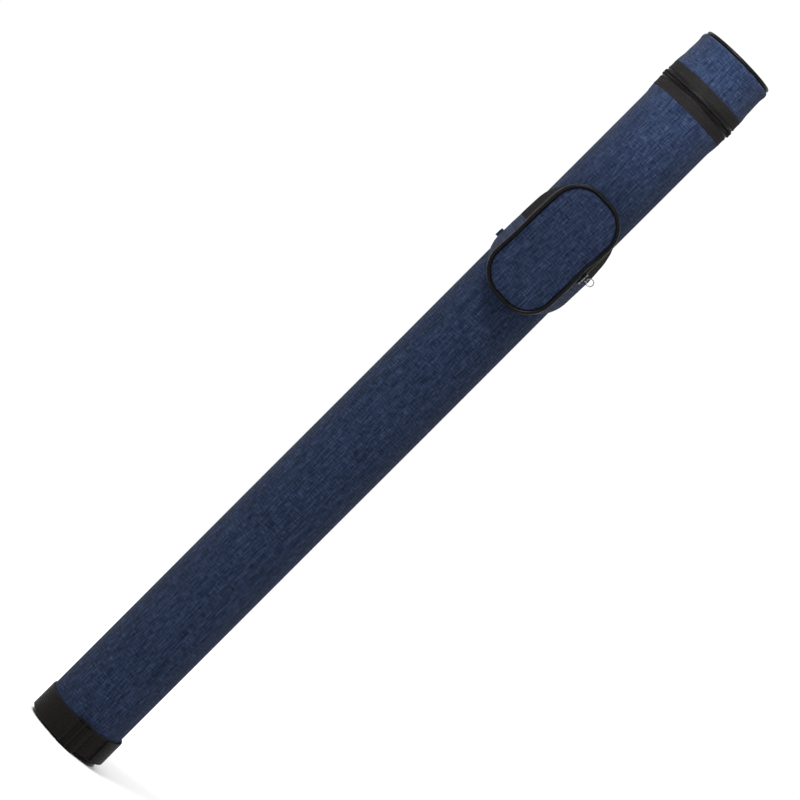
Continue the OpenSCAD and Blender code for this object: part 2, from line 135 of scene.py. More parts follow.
class Shader:
    """A material's nodes, with short calls to add one and to wire it."""

    def __init__(self, name):
        self.material = bpy.data.materials.new(name)
        self.material.use_nodes = True
        self.tree = self.material.node_tree
        self.skin = self.tree.nodes["Principled BSDF"]

    def add(self, kind, wires=(), **settings):
        node = self.tree.nodes.new(kind)
        for key, value in settings.items():
            setattr(node, key, value)
        for socket, source in wires:
            if isinstance(source, bpy.types.NodeSocket):
                self.tree.links.new(source, node.inputs[socket])
            else:
                node.inputs[socket].default_value = source
        return node

    def sums(self, operation, a, b=0.0, c=0.0):
        """One Math node's result."""
        return self.add("ShaderNodeMath", ((0, a), (1, b), (2, c)), operation=operation).outputs[0]

    def place(self, coords):
        return self.add("ShaderNodeTexCoord").outputs[coords]

    def stretched(self, source, scale):
        return self.add("ShaderNodeMapping", (("Vector", source), ("Scale", scale))).outputs[0]

    def noise(self, source, scale=1.0, detail=2.0, rough=0.5):
        wires = (("Vector", source), ("Scale", scale), ("Detail", detail), ("Roughness", rough))
        return self.add("ShaderNodeTexNoise", wires).outputs[0]

    def ramp(self, factor, stops):
        node = self.add("ShaderNodeValToRGB", ((0, factor),))
        bar = node.color_ramp
        while len(bar.elements) < len(stops):
            bar.elements.new(0.5)
        for element, (at, colour) in zip(bar.elements, stops):
            element.position = at
            element.color = (*colour, 1)
        return node.outputs[0]

    def tint(self, factor, colour, low, high):
        """A ramp between two tints of one colour. low and high are (position, times) pairs."""
        return self.ramp(factor, [(at, tuple(min(1, c * times) for c in colour))
                                  for at, times in (low, high)])

    def mix(self, factor, a, b):
        node = self.add("ShaderNodeMix", data_type="RGBA")
        for socket, source in ((0, factor), (6, a), (7, b)):
            if isinstance(source, bpy.types.NodeSocket):
                self.tree.links.new(source, node.inputs[socket])
            else:
                node.inputs[socket].default_value = source if socket == 0 else (*source, 1)
        return node.outputs[2]

    def colour(self, source):
        self.tree.links.new(source, self.skin.inputs["Base Color"])

    def bump(self, height, distance, strength=1.0):
        wires = (("Height", height), ("Distance", distance), ("Strength", strength))
        node = self.add("ShaderNodeBump", wires)
        self.tree.links.new(node.outputs[0], self.skin.inputs["Normal"])

    def set(self, **values):
        for name, value in values.items():
            self.skin.inputs[name.replace("_", " ")].default_value = value


def threads(shader, source, across, along):
    """Two sets of fine threads at right angles: returns both sets' height and their crossing."""
    split = shader.add("ShaderNodeSeparateXYZ", ((0, source),))
    rows = []
    for axis, pitch in ((0, across), (1, along)):
        turn = shader.sums("MULTIPLY", split.outputs[axis], 2 * math.pi / pitch)
        rows.append(shader.sums("SINE", turn))
    crossing = shader.sums("MULTIPLY", rows[0], rows[1])
    return rows[0], rows[1], crossing


def melange():
    """Woven cloth with differently dyed threads each way."""
    dark, mid, pale = (0.0022, 0.0046, 0.0120), (0.0080, 0.0140, 0.0335), (0.0270, 0.0400, 0.0800)
    cloth = Shader("navy_melange")
    at = cloth.place("UV")
    warp = cloth.noise(cloth.stretched(at, (1250, 105, 1)), 1, 2.5, 0.65)
    weft = cloth.noise(cloth.stretched(at, (125, 1250, 1)), 1, 2.5, 0.65)
    slub = cloth.noise(cloth.stretched(at, (560, 24, 1)), 1, 2, 0.55)
    both = cloth.sums("MULTIPLY", cloth.sums("ADD", warp, weft), 0.5)
    blend = cloth.sums("ADD", cloth.sums("MULTIPLY", both, 0.80), cloth.sums("MULTIPLY", slub, 0.20))
    tone = cloth.ramp(blend, ((0.395, dark), (0.50, mid), (0.61, pale)))
    cloth.colour(tone)
    _, _, crossing = threads(cloth, at, 0.00085, 0.00085)
    height = cloth.sums("ADD", cloth.sums("MULTIPLY", crossing, 0.35), both)
    cloth.bump(height, 0.00022, 0.9)
    cloth.set(Roughness=0.9, Specular_IOR_Level=0.07, Sheen_Weight=0.02, Sheen_Roughness=0.5)
    return cloth.material


NAVY = melange()


def make_object(name, verts, faces, material, uvs=None, sharp=40):
    """A mesh object from its points, with one UV pair for each face corner, in metres."""
    mesh = bpy.data.meshes.new(name)
    mesh.from_pydata([tuple(v) for v in verts], [], faces)
    if uvs is not None:
        layer = mesh.uv_layers.new(name="cloth")
        layer.data.foreach_set("uv", np.asarray(uvs, dtype=np.float32).ravel())
    work = bmesh.new()
    work.from_mesh(mesh)
    bmesh.ops.recalc_face_normals(work, faces=work.faces)
    work.to_mesh(mesh)
    work.free()
    for face in mesh.polygons:
        face.use_smooth = True
    mesh.set_sharp_from_angle(angle=math.radians(sharp))
    mesh.materials.append(material)
    made = bpy.data.objects.new(name, mesh)
    scene.collection.objects.link(made)
    return made


def run_lengths(points):
    steps = np.linalg.norm(np.diff(points, axis=0), axis=1)
    return np.concatenate(([0.0], np.cumsum(steps)))


def cloth_shell(name, rows, thick, material, wrap=False, flip=False, flat=None):
    """Cloth of real thickness. rows holds the outer face's points in mm, row by row.

    flat gives each point's place on the flat cloth, in mm. Without it the middle row and column
    are measured, so the weave keeps its scale on a curved piece.
    """
    grid = np.asarray(rows, dtype=float) * MM
    count, across = grid.shape[:2]
    if wrap:
        along_row = np.roll(grid, -1, 1) - np.roll(grid, 1, 1)
    else:
        along_row = np.gradient(grid, axis=1)
    normal = np.cross(along_row, np.gradient(grid, axis=0))
    normal /= np.maximum(np.linalg.norm(normal, axis=2, keepdims=True), 1e-12)
    inner = grid - normal * thick * MM * (-1 if flip else 1)
    verts = np.concatenate((grid.reshape(-1, 3), inner.reshape(-1, 3)))
    middle = grid[count // 2]
    if wrap:
        middle = np.concatenate((middle, middle[:1]))
    u = run_lengths(middle)
    v = run_lengths(grid[:, across // 2])

    def corner(i, j):
        if flat is not None:
            return tuple(np.asarray(flat[i][j]) * MM)
        return (u[j], v[i])

    faces, uvs = [], []
    base = count * across
    columns = across if wrap else across - 1
    for i in range(count - 1):
        for j in range(columns):
            k = (j + 1) % across
            quad = (i * across + j, i * across + k, (i + 1) * across + k, (i + 1) * across + j)
            marks = [corner(i, j), corner(i, j + 1), corner(i + 1, j + 1), corner(i + 1, j)]
            faces += [quad, tuple(base + q for q in reversed(quad))]
            uvs += marks + marks[::-1]
    for j in range(columns):
        k = (j + 1) % across
        for i in (0, count - 1):
            a, b = i * across + j, i * across + k
            faces.append((a, b, base + b, base + a))
            uvs += [corner(i, j), corner(i, j + 1), corner(i, j + 1), corner(i, j)]
    if not wrap:
        for i in range(count - 1):
            for j in (0, across - 1):
                a, b = i * across + j, (i + 1) * across + j
                faces.append((a, b, base + b, base + a))
                uvs += [corner(i, j), corner(i + 1, j), corner(i + 1, j), corner(i, j)]
    return make_object(name, verts, faces, material, uvs)


def at_bearing(bearing, radius, z):
    """A point at a bearing counted in degrees from the front towards +X."""
    turn = math.radians(bearing)
    return (radius * math.sin(turn), -radius * math.cos(turn), z)


def turned_rows(profile, steps=160, waver=0.0, seed=3):
    """Rows of points round the tube for a profile of (radius, z), with a slight hand-made waver."""
    draw = random.Random(seed)
    waves = [(draw.randint(2, 6), draw.uniform(0, 6.3), draw.uniform(0.008, 0.03), draw.uniform(0, 6.3))
             for _ in range(6)]
    rows = []
    for radius, z in profile:
        row = []
        for step in range(steps):
            bearing = 360 * step / steps
            swell = sum(math.sin(n * math.radians(bearing) + p) * math.sin(f * z + q)
                        for n, p, f, q in waves)
            row.append(at_bearing(bearing, radius + waver * swell / 3, z))
        rows.append(row)
    return rows


def between(a, b, steps):
    """Evenly spaced values from a to b."""
    return [a + (b - a) * i / steps for i in range(steps + 1)]


def ramp_profile(knots, spacing):
    """Points along a chain of (radius, z) knots, no further apart than spacing, eased at the knots."""
    points = []
    for (r0, z0), (r1, z1) in zip(knots, knots[1:]):
        steps = max(1, math.ceil(abs(z1 - z0) / spacing))
        for i in range(steps):
            t = i / steps
            ease = t * t * (3 - 2 * t)
            points.append((r0 + (r1 - r0) * ease, z0 + (z1 - z0) * t))
    points.append(knots[-1])
    return points


cover_knots = [(TUBE_R - 1.0, COVER_FOOT), (TUBE_R - 0.45, COVER_FOOT + 0.7), (TUBE_R, COVER_FOOT + 4.2),
               (TUBE_R, TAPE_EDGE - 12), (TUBE_R + TAPE_T - 0.1, TAPE_EDGE - 0.6),
               (TUBE_R + TAPE_T - 0.5, TAPE_EDGE)]
body_cover = cloth_shell("tube_cover", turned_rows(ramp_profile(cover_knots, 4), 180, 0.16),
                         COVER_T - 0.15, NAVY, wrap=True)
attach(body_cover, "tube")
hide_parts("body_cover")


# ---- Stiff tube, boards and lining --------------------------------------------------------------
# Inside the cover is a stiff black tube with a board in each end. A short-pile lining is glued to
# the tube's inside, and to the lid's.
LINING_R = 34.7
LINING_IN = 33.6
MOUTH_Z = 785.9
LID_MOUTH_Z = 788.9


def moulded(name, colour, rough=0.55, grain=900, depth=0.00005, shine=0.15):
    """Plain moulded or pressed board: a fine leather-like grain and slightly uneven gloss."""
    plastic = Shader(name)
    at = plastic.place("Object")
    grainy = plastic.noise(at, grain, 3, 0.55)
    cloudy = plastic.noise(at, 60, 2, 0.5)
    plastic.colour(plastic.tint(cloudy, colour, (0.3, 0.8), (0.7, 1.25)))
    wires = (("Value", cloudy), ("To Min", rough - 0.07), ("To Max", rough + 0.09))
    plastic.tree.links.new(plastic.add("ShaderNodeMapRange", wires).outputs[0],
                           plastic.skin.inputs["Roughness"])
    plastic.bump(grainy, depth, 0.8)
    plastic.set(Specular_IOR_Level=shine)
    return plastic.material


def plush():
    """Brushed lining: soft specks of pile that catch light at the edges."""
    pile = Shader("short_pile")
    at = pile.place("Object")
    specks = pile.noise(at, 1600, 4, 0.65)
    brushed = pile.noise(at, 90, 2, 0.5)
    tone = pile.tint(brushed, (0.016, 0.016, 0.019), (0.35, 0.7), (0.65, 1.6))
    pile.colour(pile.mix(0.35, tone, pile.ramp(specks, ((0.35, (0.006, 0.006, 0.007)),
                                                        (0.65, (0.05, 0.05, 0.055))))))
    pile.bump(specks, 0.0005, 0.9)
    pile.set(Roughness=0.95, Sheen_Weight=0.12, Sheen_Roughness=0.4, Specular_IOR_Level=0.1)
    return pile.material


BOARD = moulded("pressed_board", (0.028, 0.028, 0.028), 0.75, 500, 0.0001)
SHELL = moulded("tube_plastic", (0.022, 0.022, 0.024), 0.5)
PLUSH = plush()


def finish_node(node, material):
    """Gives a carried-over piece its finish."""
    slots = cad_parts[node].data.materials
    slots.clear()
    slots.append(material)


for node in ("core_tube", "lid_core"):
    finish_node(node, SHELL)
for node in ("foot_board", "lid_board"):
    finish_node(node, BOARD)

for node, body, bottom, top in (("tube_lining", "tube", 11.7, MOUTH_Z),
                                ("lid_lining", "lid", LID_MOUTH_Z, 828.0)):
    rows = turned_rows(ramp_profile([(LINING_IN + 0.02, bottom), (LINING_IN + 0.02, top)], 9), 120, 0.0)
    lining = cloth_shell(node + "_pile", rows, LINING_R - LINING_IN - 0.1, PLUSH, wrap=True, flip=True)
    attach(lining, body)
    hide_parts(node)


# ---- Pads ---------------------------------------------------------------------------------------
# A soft foam pad covered with the same lining lies in each end, crowned in the middle, so that the
# telescope's ends don't touch the boards.
PAD_R = 34.5


def puffed(piece, pinned, pressure, cap):
    """Swells a closed piece with Blender's cloth while its seams are pinned. cap is in mm."""
    scale = 10
    mesh = piece.data
    start = np.empty(len(mesh.vertices) * 3)
    mesh.vertices.foreach_get("co", start)
    mesh.vertices.foreach_set("co", start * scale)
    mesh.update()
    piece.vertex_groups.new(name="seam").add(pinned, 1.0, "REPLACE")
    cloth = piece.modifiers.new("swell", "CLOTH")
    cloth.settings.vertex_group_mass = "seam"
    cloth.settings.quality = 5
    cloth.settings.mass = 0.3
    cloth.settings.use_pressure = True
    cloth.settings.uniform_pressure_force = pressure
    cloth.settings.effector_weights.gravity = 0
    cloth.point_cache.frame_start = 1
    cloth.point_cache.frame_end = 20
    for step in range(1, 21):
        scene.frame_set(step)
    swollen = piece.evaluated_get(bpy.context.evaluated_depsgraph_get()).data
    end = np.empty_like(start)
    swollen.vertices.foreach_get("co", end)
    move = (end / scale - start).reshape(-1, 3)
    size = np.linalg.norm(move, axis=1, keepdims=True)
    move *= np.minimum(1, cap * MM / np.maximum(size, 1e-9))
    piece.modifiers.remove(cloth)
    piece.vertex_groups.clear()
    mesh.vertices.foreach_set("co", start + move.ravel())
    mesh.update()
    scene.frame_set(1)


def round_pad(name, low, high, face_up):
    """A crowned disc: the crown faces the inside of the case."""
    profile = []
    for i in range(13):
        t = i / 12
        radius = PAD_R * (1 - t)
        crown = 1 - (radius / PAD_R) ** 4
        profile.append((max(radius, 0.05), low + 2.6 + (high - low - 2.6) * crown))
    profile = [(PAD_R - 0.4, low), (PAD_R, low + 1)] + profile
    if not face_up:
        profile = [(r, low + high - z) for r, z in profile]
    rows = turned_rows(profile, 72)
    points = [p for row in rows for p in row]
    steps = 72
    faces = []
    for i in range(len(rows) - 1):
        for j in range(steps):
            k = (j + 1) % steps
            faces.append((i * steps + j, i * steps + k, (i + 1) * steps + k, (i + 1) * steps + j))
    faces.append(tuple(range(steps)))
    faces.append(tuple((len(rows) - 1) * steps + j for j in range(steps)))
    return make_object(name, np.asarray(points) * MM, faces, PLUSH, None, 60)


for node, body, low, high, face_up in (("foot_pad", "tube", 5.7, 11.5, True),
                                       ("lid_pad", "lid", 828.3, 834.0, False)):
    pad = round_pad(node + "_foam", low, high, face_up)
    base = [v.index for v in pad.data.vertices if abs(v.co.z / MM - (low if face_up else high)) < 1.2]
    puffed(pad, base, 3, 0.25)
    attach(pad, body)
    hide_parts(node)


# ---- Piping and end panels ----------------------------------------------------------------------
# A black cord in a woven sleeve is sewn into the seam round each end panel. The panel is the same
# melange cloth over the board, slightly crowned, with a groove where it meets the piping.
PIPE_D = 3.6
PIPE_RING_R = 35.3
END_R = 33.3


def ribbed(name, colour, pitch, depth=0.00018, rough=0.8, crest_highlight=0.35):
    """Woven tape or sleeve: ribs along the piece's length, crossed by fine threads."""
    tape = Shader(name)
    at = tape.place("UV")
    _, picks, crossing = threads(tape, at, pitch * 0.7, pitch)
    mottle = tape.noise(tape.stretched(at, (700, 700, 1)), 1, 3, 0.6)
    pale = tuple(c * 2.2 + 0.002 for c in colour)
    tone = tape.ramp(mottle, ((0.35, tuple(c * 0.62 for c in colour)), (0.66, pale)))
    # Painted highlight: the rib crests are mixed towards the pale tone, as strongly as the last setting says,
    # so that the ribs look lit on top.
    lit = tape.sums("MULTIPLY_ADD", picks, 0.5, 0.5)
    tape.colour(tape.mix(tape.sums("MULTIPLY", lit, crest_highlight), tone, pale))
    height = tape.sums("ADD", picks, tape.sums("MULTIPLY", crossing, 0.5))
    tape.bump(height, depth, 0.9)
    tape.set(Roughness=rough, Specular_IOR_Level=0.07)
    return tape.material


def sweep(name, frames, section, material, closed=False):
    """A section of (side, out) pairs in mm, carried along frames of (place, side, out) directions."""
    verts, lengths = [], [0.0]
    places = [Vector(place) for place, _, _ in frames]
    for i in range(1, len(frames) + (1 if closed else 0)):
        lengths.append(lengths[-1] + (places[i % len(frames)] - places[i - 1]).length * MM)
    for place, side, out in frames:
        for s, o in section:
            verts.append((Vector(place) + Vector(side) * s + Vector(out) * o) * MM)
    ring = [0.0]
    for (s0, o0), (s1, o1) in zip(section, section[1:] + section[:1]):
        ring.append(ring[-1] + math.hypot(s1 - s0, o1 - o0) * MM)
    count, round_count = len(section), len(frames)
    faces, uvs = [], []
    for i in range(round_count if closed else round_count - 1):
        n = (i + 1) % round_count
        for j in range(count):
            k = (j + 1) % count
            faces.append((i * count + j, i * count + k, n * count + k, n * count + j))
            uvs += [(lengths[i], ring[j]), (lengths[i], ring[j + 1]),
                    (lengths[i + 1], ring[j + 1]), (lengths[i + 1], ring[j])]
    if not closed:
        for i in (0, round_count - 1):
            faces.append(tuple(i * count + j for j in range(count)))
            uvs += [(lengths[i], ring[j]) for j in range(count)]
    return make_object(name, verts, faces, material, uvs, 50)


def circle_section(radius, steps=16):
    """A round cord's section."""
    turns = [2 * math.pi * i / steps for i in range(steps)]
    return [(radius * math.cos(turn), radius * math.sin(turn)) for turn in turns]


def ring_frames(radius, z):
    """Frames round the tube for a cord that lies level."""
    return [(at_bearing(b, radius, z), (0, 0, 1), at_bearing(b, 1, 0)) for b in between(0, 360, 160)[:-1]]


def end_panel(name, outer_z, inner_z):
    """A crowned disc of cloth, turned down at its edge."""
    steps = 120
    rings = []
    for t in between(1, 0.04, 16):
        radius = END_R * t
        sink = 0.9 * max(0, (t - 0.93) / 0.07) ** 1.5
        rings.append((radius, outer_z + (inner_z - outer_z) * sink))
    rows = turned_rows(rings, steps)
    flat = [[(p[0], p[1]) for p in row] for row in rows]
    for row in flat:
        row.append(row[0])
    verts = [p for row in rows for p in row] + [(0, 0, outer_z)]
    faces, uvs = [], []
    for i in range(len(rows) - 1):
        for j in range(steps):
            k = (j + 1) % steps
            faces.append((i * steps + j, i * steps + k, (i + 1) * steps + k, (i + 1) * steps + j))
            uvs += [flat[i][j], flat[i][j + 1], flat[i + 1][j + 1], flat[i + 1][j]]
    last = (len(rows) - 1) * steps
    for j in range(steps):
        faces.append((last + j, last + (j + 1) % steps, len(verts) - 1))
        uvs += [flat[-1][j], flat[-1][j + 1], (0, 0)]
    back = len(verts)
    verts += [(p[0], p[1], inner_z) for p in rows[0]]
    for j in range(steps):
        k = (j + 1) % steps
        faces.append((j, k, back + k, back + j))
        uvs += [flat[0][j], flat[0][j + 1], flat[0][j + 1], flat[0][j]]
    faces.append(tuple(back + j for j in range(steps)))
    uvs += [flat[0][j] for j in range(steps)]
    return make_object(name, np.asarray(verts) * MM, faces, NAVY, np.asarray(uvs) * MM)


def vinyl(name, colour):
    """A smooth satin sleeve with a faint grain."""
    sleeve = Shader(name)
    at = sleeve.place("Object")
    cloudy = sleeve.noise(at, 240, 3, 0.6)
    sleeve.colour(sleeve.tint(cloudy, colour, (0.3, 0.7), (0.7, 1.5)))
    sleeve.bump(sleeve.noise(at, 1300, 3, 0.6), 0.00006, 0.8)
    sleeve.set(Roughness=0.30, Specular_IOR_Level=0.07)
    return sleeve.material


PIPING = vinyl("piping_sleeve", (0.0026, 0.0024, 0.0024))


for node, body, z in (("foot_piping", "tube", 2.0), ("lid_piping", "lid", 838.2)):
    piping = sweep(node + "_cord", ring_frames(PIPE_RING_R, z), circle_section(PIPE_D / 2 - 0.02), PIPING,
                   closed=True)
    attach(piping, body)
    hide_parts(node)

for node, body, outer_z, inner_z in (("foot_panel", "tube", 0.0, 1.25), ("lid_panel", "lid", 839.7, 838.45)):
    panel = end_panel(node + "_cloth", outer_z, inner_z)
    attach(panel, body)
    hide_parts(node)


# ---- Lid cover ----------------------------------------------------------------------------------
# The lid is a short stiff ring under the same cloth. The cover draws in a little between the zip
# and the end, and stands out again where the seam allowance of the piping lies under it.
lid_knots = [(TUBE_R + TAPE_T - 0.5, ZIP_Z + BAND_H), (TUBE_R + TAPE_T - 0.1, ZIP_Z + BAND_H + 0.8),
             (TUBE_R + 0.1, ZIP_Z + BAND_H + 11), (TUBE_R - 0.35, 827.0), (TUBE_R + 0.3, 833.2),
             (TUBE_R - 0.1, 835.3), (TUBE_R - 1.0, 836.1)]
lid_cover = cloth_shell("lid_cloth", turned_rows(ramp_profile(lid_knots, 1.6), 180, 0.14, seed=8),
                        COVER_T - 0.3, NAVY, wrap=True)
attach(lid_cover, "lid")
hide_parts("lid_cover")


# ---- Mouth bindings -----------------------------------------------------------------------------
# A narrow woven tape is folded over the tube's raw edge and over the lid's, so that the lining,
# tube and cover end in one neat rim.
# The rib crests get ribbed's painted highlight at its default strength.
BINDING = ribbed("binding_tape", (0.0075, 0.0070, 0.0068), 0.0008, 0.00012)
for node, body, low, high in (("mouth_binding", "tube", 786.0, 787.0), ("lid_binding", "lid", 787.8, 788.8)):
    inside, outside, middle = 33.7, 38.1, (low + high) / 2
    half_out, half_up = (outside - inside) / 2, (high - low) / 2
    section = []
    for i in range(20):
        turn = 2 * math.pi * i / 20
        c, s = math.cos(turn), math.sin(turn)
        section.append((half_up * math.copysign(abs(s) ** 0.6, s),
                        half_out * math.copysign(abs(c) ** 0.35, c)))
    binding = sweep(node + "_tape", ring_frames((inside + outside) / 2, middle), section, BINDING,
                    closed=True)
    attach(binding, body)
    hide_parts(node)


# ---- Main zip -----------------------------------------------------------------------------------
# A coil zip runs round the mouth, except across the hinge. Each half is a woven tape with a spiral
# of nylon sewn along its edge. The spirals stand proud, with a groove between them and the tapes,
# and each tape is top-stitched near its outer edge.
HINGE_HALF = 40.0
ZIP_REACH = 180 - HINGE_HALF - 0.5
COIL_W = 3.8
COIL_OUT = 2.3
COIL_GAP = 0.4
GROOVE = 0.55
# The last setting is the strength of the painted highlight on the rib crests.
TAPE = ribbed("zip_tape", (0.0040, 0.0037, 0.0034), 0.00125, crest_highlight=0.45)


def nylon():
    """Extruded nylon: nearly black, with a soft shine along each turn."""
    coil = Shader("zip_nylon")
    cloudy = coil.noise(coil.place("Object"), 800, 2, 0.5)
    coil.colour(coil.tint(cloudy, (0.0028, 0.0025, 0.0028), (0.3, 0.7), (0.7, 1.5)))
    coil.bump(cloudy, 0.00003, 0.6)
    coil.set(Roughness=0.42, Specular_IOR_Level=0.07)
    return coil.material


COIL = nylon()


def thread(name, colour):
    """Twisted sewing thread."""
    yarn = Shader(name)
    twist = yarn.noise(yarn.place("Object"), 4200, 2, 0.5)
    yarn.colour(yarn.tint(twist, colour, (0.35, 0.6), (0.65, 1.6)))
    yarn.bump(twist, 0.00005, 0.8)
    yarn.set(Roughness=0.75, Specular_IOR_Level=0.15)
    return yarn.material


BLACK_THREAD = thread("black_thread", (0.0085, 0.0080, 0.0085))
NAVY_THREAD = thread("navy_thread", (0.009, 0.015, 0.036))


def pods(name, ends, radius, material, sides=7, flatten=1.0):
    """Many small rounded rods in one mesh: coil turns or stitches. ends holds (from, to, out)."""
    verts, faces = [], []
    stations = ((0.0, 0.3025), (0.10, 0.85), (0.30, 1.0), (0.70, 1.0), (0.90, 0.85), (1.0, 0.3025))
    for start, end, out in ends:
        start, end, out = Vector(start), Vector(end), Vector(out).normalized()
        run = end - start
        side = run.cross(out).normalized()
        first = len(verts)
        for t, size in stations:
            for k in range(sides):
                turn = 2 * math.pi * k / sides
                offset = (side * math.cos(turn) * radius * size
                          + out * math.sin(turn) * radius * size * flatten)
                verts.append((start + run * t + offset) * MM)
        for i in range(len(stations) - 1):
            for k in range(sides):
                n = (k + 1) % sides
                a, b = first + i * sides, first + (i + 1) * sides
                faces.append((a + k, a + n, b + n, b + k))
        faces.append(tuple(first + k for k in range(sides)))
        faces.append(tuple(first + (len(stations) - 1) * sides + k for k in range(sides)))
    return make_object(name, verts, faces, material, None, 60)


def stitch_run(points, outs, length, gap):
    """Pairs of ends for a row of stitches along a chain of close points."""
    ends = []
    travelled = run_lengths(np.asarray(points))
    position = 0.4
    while position + length < travelled[-1]:
        pair = []
        for at in (position, position + length):
            i = min(int(np.searchsorted(travelled, at)), len(points) - 1)
            j = max(i - 1, 0)
            span = travelled[i] - travelled[j] or 1
            t = (at - travelled[j]) / span
            place = Vector(points[j]).lerp(Vector(points[i]), t)
            pair.append((place, Vector(outs[i])))
        (a, out), (b, _) = pair
        ends.append((a, b, out))
        position += length + gap
    return ends


ZIP_BEARINGS = between(-ZIP_REACH, ZIP_REACH, 200)
for side, body, tape_node, coil_node in ((-1, "tube", "zip_tape_body", "zip_coil_body"),
                                         (1, "lid", "zip_tape_lid", "zip_coil_lid")):
    coil_near = ZIP_Z + side * COIL_GAP / 2
    coil_far = coil_near + side * COIL_W
    tape_near = coil_far + side * GROOVE
    tape_far = ZIP_Z + side * BAND_H
    rows = []
    for t in between(0, 1, 16):
        z = tape_near + (tape_far - tape_near) * t
        bead = 0.42 * math.exp(-((t - 0.12) / 0.08) ** 2) + 0.16 * math.exp(-((t - 0.93) / 0.06) ** 2)
        rows.append([at_bearing(b, TUBE_R + TAPE_T - 0.05 + bead, z) for b in ZIP_BEARINGS])
    tape = cloth_shell(tape_node + "_woven", rows, TAPE_T - 0.1, TAPE, flip=side < 0)
    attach(tape, body)
    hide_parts(tape_node)

    core_rows = [[at_bearing(b, TUBE_R + 0.8, z) for b in ZIP_BEARINGS]
                 for z in between(coil_near + side * 0.5, coil_far + side * 0.6, 4)]
    cord = cloth_shell(coil_node + "_cord", core_rows, 0.25, COIL, flip=side < 0)
    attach(cord, body)

    pitch_deg = math.degrees(1.35 / (TUBE_R + COIL_OUT))
    turns = []
    bearing = -ZIP_REACH + 0.6 + (0.25 if side > 0 else 0.75) * pitch_deg
    while bearing < ZIP_REACH - 0.6:
        low = at_bearing(bearing, TUBE_R + COIL_OUT - 0.62, coil_near + side * 0.02)
        high = at_bearing(bearing, TUBE_R + COIL_OUT - 0.85, coil_far - side * 1.25)
        turns.append((low, high, at_bearing(bearing, 1, 0)))
        bearing += pitch_deg
    coil = pods(coil_node + "_turns", turns, 0.60, COIL, sides=8)
    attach(coil, body)
    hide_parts(coil_node)

    for inset, name in ((1.5, "edge"), (6.6, "inner")):
        z = tape_far - side * inset
        points = [at_bearing(b, TUBE_R + TAPE_T + 0.06, z) for b in between(-ZIP_REACH, ZIP_REACH, 400)]
        outs = [at_bearing(b, 1, 0) for b in between(-ZIP_REACH, ZIP_REACH, 400)]
        seam = pods(f"zip_{name}_stitches_{body}", stitch_run(points, outs, 2.3, 0.9), 0.17,
                    BLACK_THREAD, 6, 0.7)
        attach(seam, body)


# ---- Lid hinge ----------------------------------------------------------------------------------
# Where the zip stops at the back, a double strip of the cover's cloth joins lid and tube. It is
# sewn to both covers, in one piece across the line between them.
hinge_rows = []
for z in between(ZIP_Z - BAND_H, ZIP_Z + BAND_H, 28):
    t = abs(z - ZIP_Z) / BAND_H
    radius = TUBE_R + TAPE_T - 0.05 - 0.25 * max(0, t - 0.88) / 0.12
    hinge_rows.append([at_bearing(b, radius, z) for b in between(180 - HINGE_HALF, 180 + HINGE_HALF, 48)])
hinge = cloth_shell("lid_hinge_cloth", hinge_rows, 1.0, NAVY)
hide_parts("hinge_strip_body", "hinge_strip_lid")
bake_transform(hinge)
for side, body in ((-1, "tube"), (1, "lid")):
    ends = []
    for inset in (1.6, 4.2):
        z = ZIP_Z + side * (BAND_H - inset)
        bearings = between(180 - HINGE_HALF + 1.5, 180 + HINGE_HALF - 1.5, 120)
        ends += stitch_run([at_bearing(b, TUBE_R + TAPE_T + 0.02, z) for b in bearings],
                           [at_bearing(b, 1, 0) for b in bearings], 2.4, 0.9)
    seam = pods(f"hinge_stitches_{body}", ends, 0.17, NAVY_THREAD, 6, 0.7)
    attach(seam, body)


# ---- Strap at the foot and the back -------------------------------------------------------------
# Black polypropylene webbing with ribs along its length. One length is a loop round the foot. A
# second lies over it round the +X flank, turns up the back, and is sewn under the patch near the lid.
WEB_W = 25.2
WEB_T = 1.2
LOOP_R = 39.55
LEAD_R = 40.9
LOOP_Z = 19
RISE_Y = math.tan(math.radians(5.3)) / math.cos(math.radians(1.85))
RISE_X = math.tan(math.radians(1.85))
RIB = 1.8
# The last value is the strength of the painted highlight on the rib crests.
WEBBING = ribbed("webbing", (0.0036, 0.0028, 0.0026), 0.0018, 0.00030, 0.5, 0.55)


def loop_height(bearing, radius=LOOP_R):
    """Height of the foot loop's middle line, which rises to the back and towards +X."""
    x, y, _ = at_bearing(bearing, radius, 0)
    return LOOP_Z + RISE_X * x + RISE_Y * y


def rib_lift(across):
    """The webbing's cross-section: rounded ribs, and edges that thin out."""
    edge = max(0.0, abs(across) / (WEB_W / 2) - 0.965) / 0.035
    return 0.13 * math.sin(2 * math.pi * (across + WEB_W / 2) / RIB) - 0.35 * edge ** 2


ACROSS = between(-WEB_W / 2, WEB_W / 2, 112)
loop_bearings = between(0, 358, 179)
loop_rows = []
for across in ACROSS:
    lift = rib_lift(across)
    loop_rows.append([at_bearing(b, LOOP_R - 0.06 + lift + 0.05 * math.sin(math.radians(3 * b + 40)),
                                 loop_height(b) + across * 1.004) for b in loop_bearings])
loop_flat = [[(math.radians(b) * LOOP_R, a + WEB_W / 2) for b in loop_bearings + [360]] for a in ACROSS]
foot_loop = cloth_shell("foot_loop_webbing", loop_rows, WEB_T - 0.2, WEBBING, wrap=True, flat=loop_flat)
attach(foot_loop, "tube")
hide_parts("foot_loop")

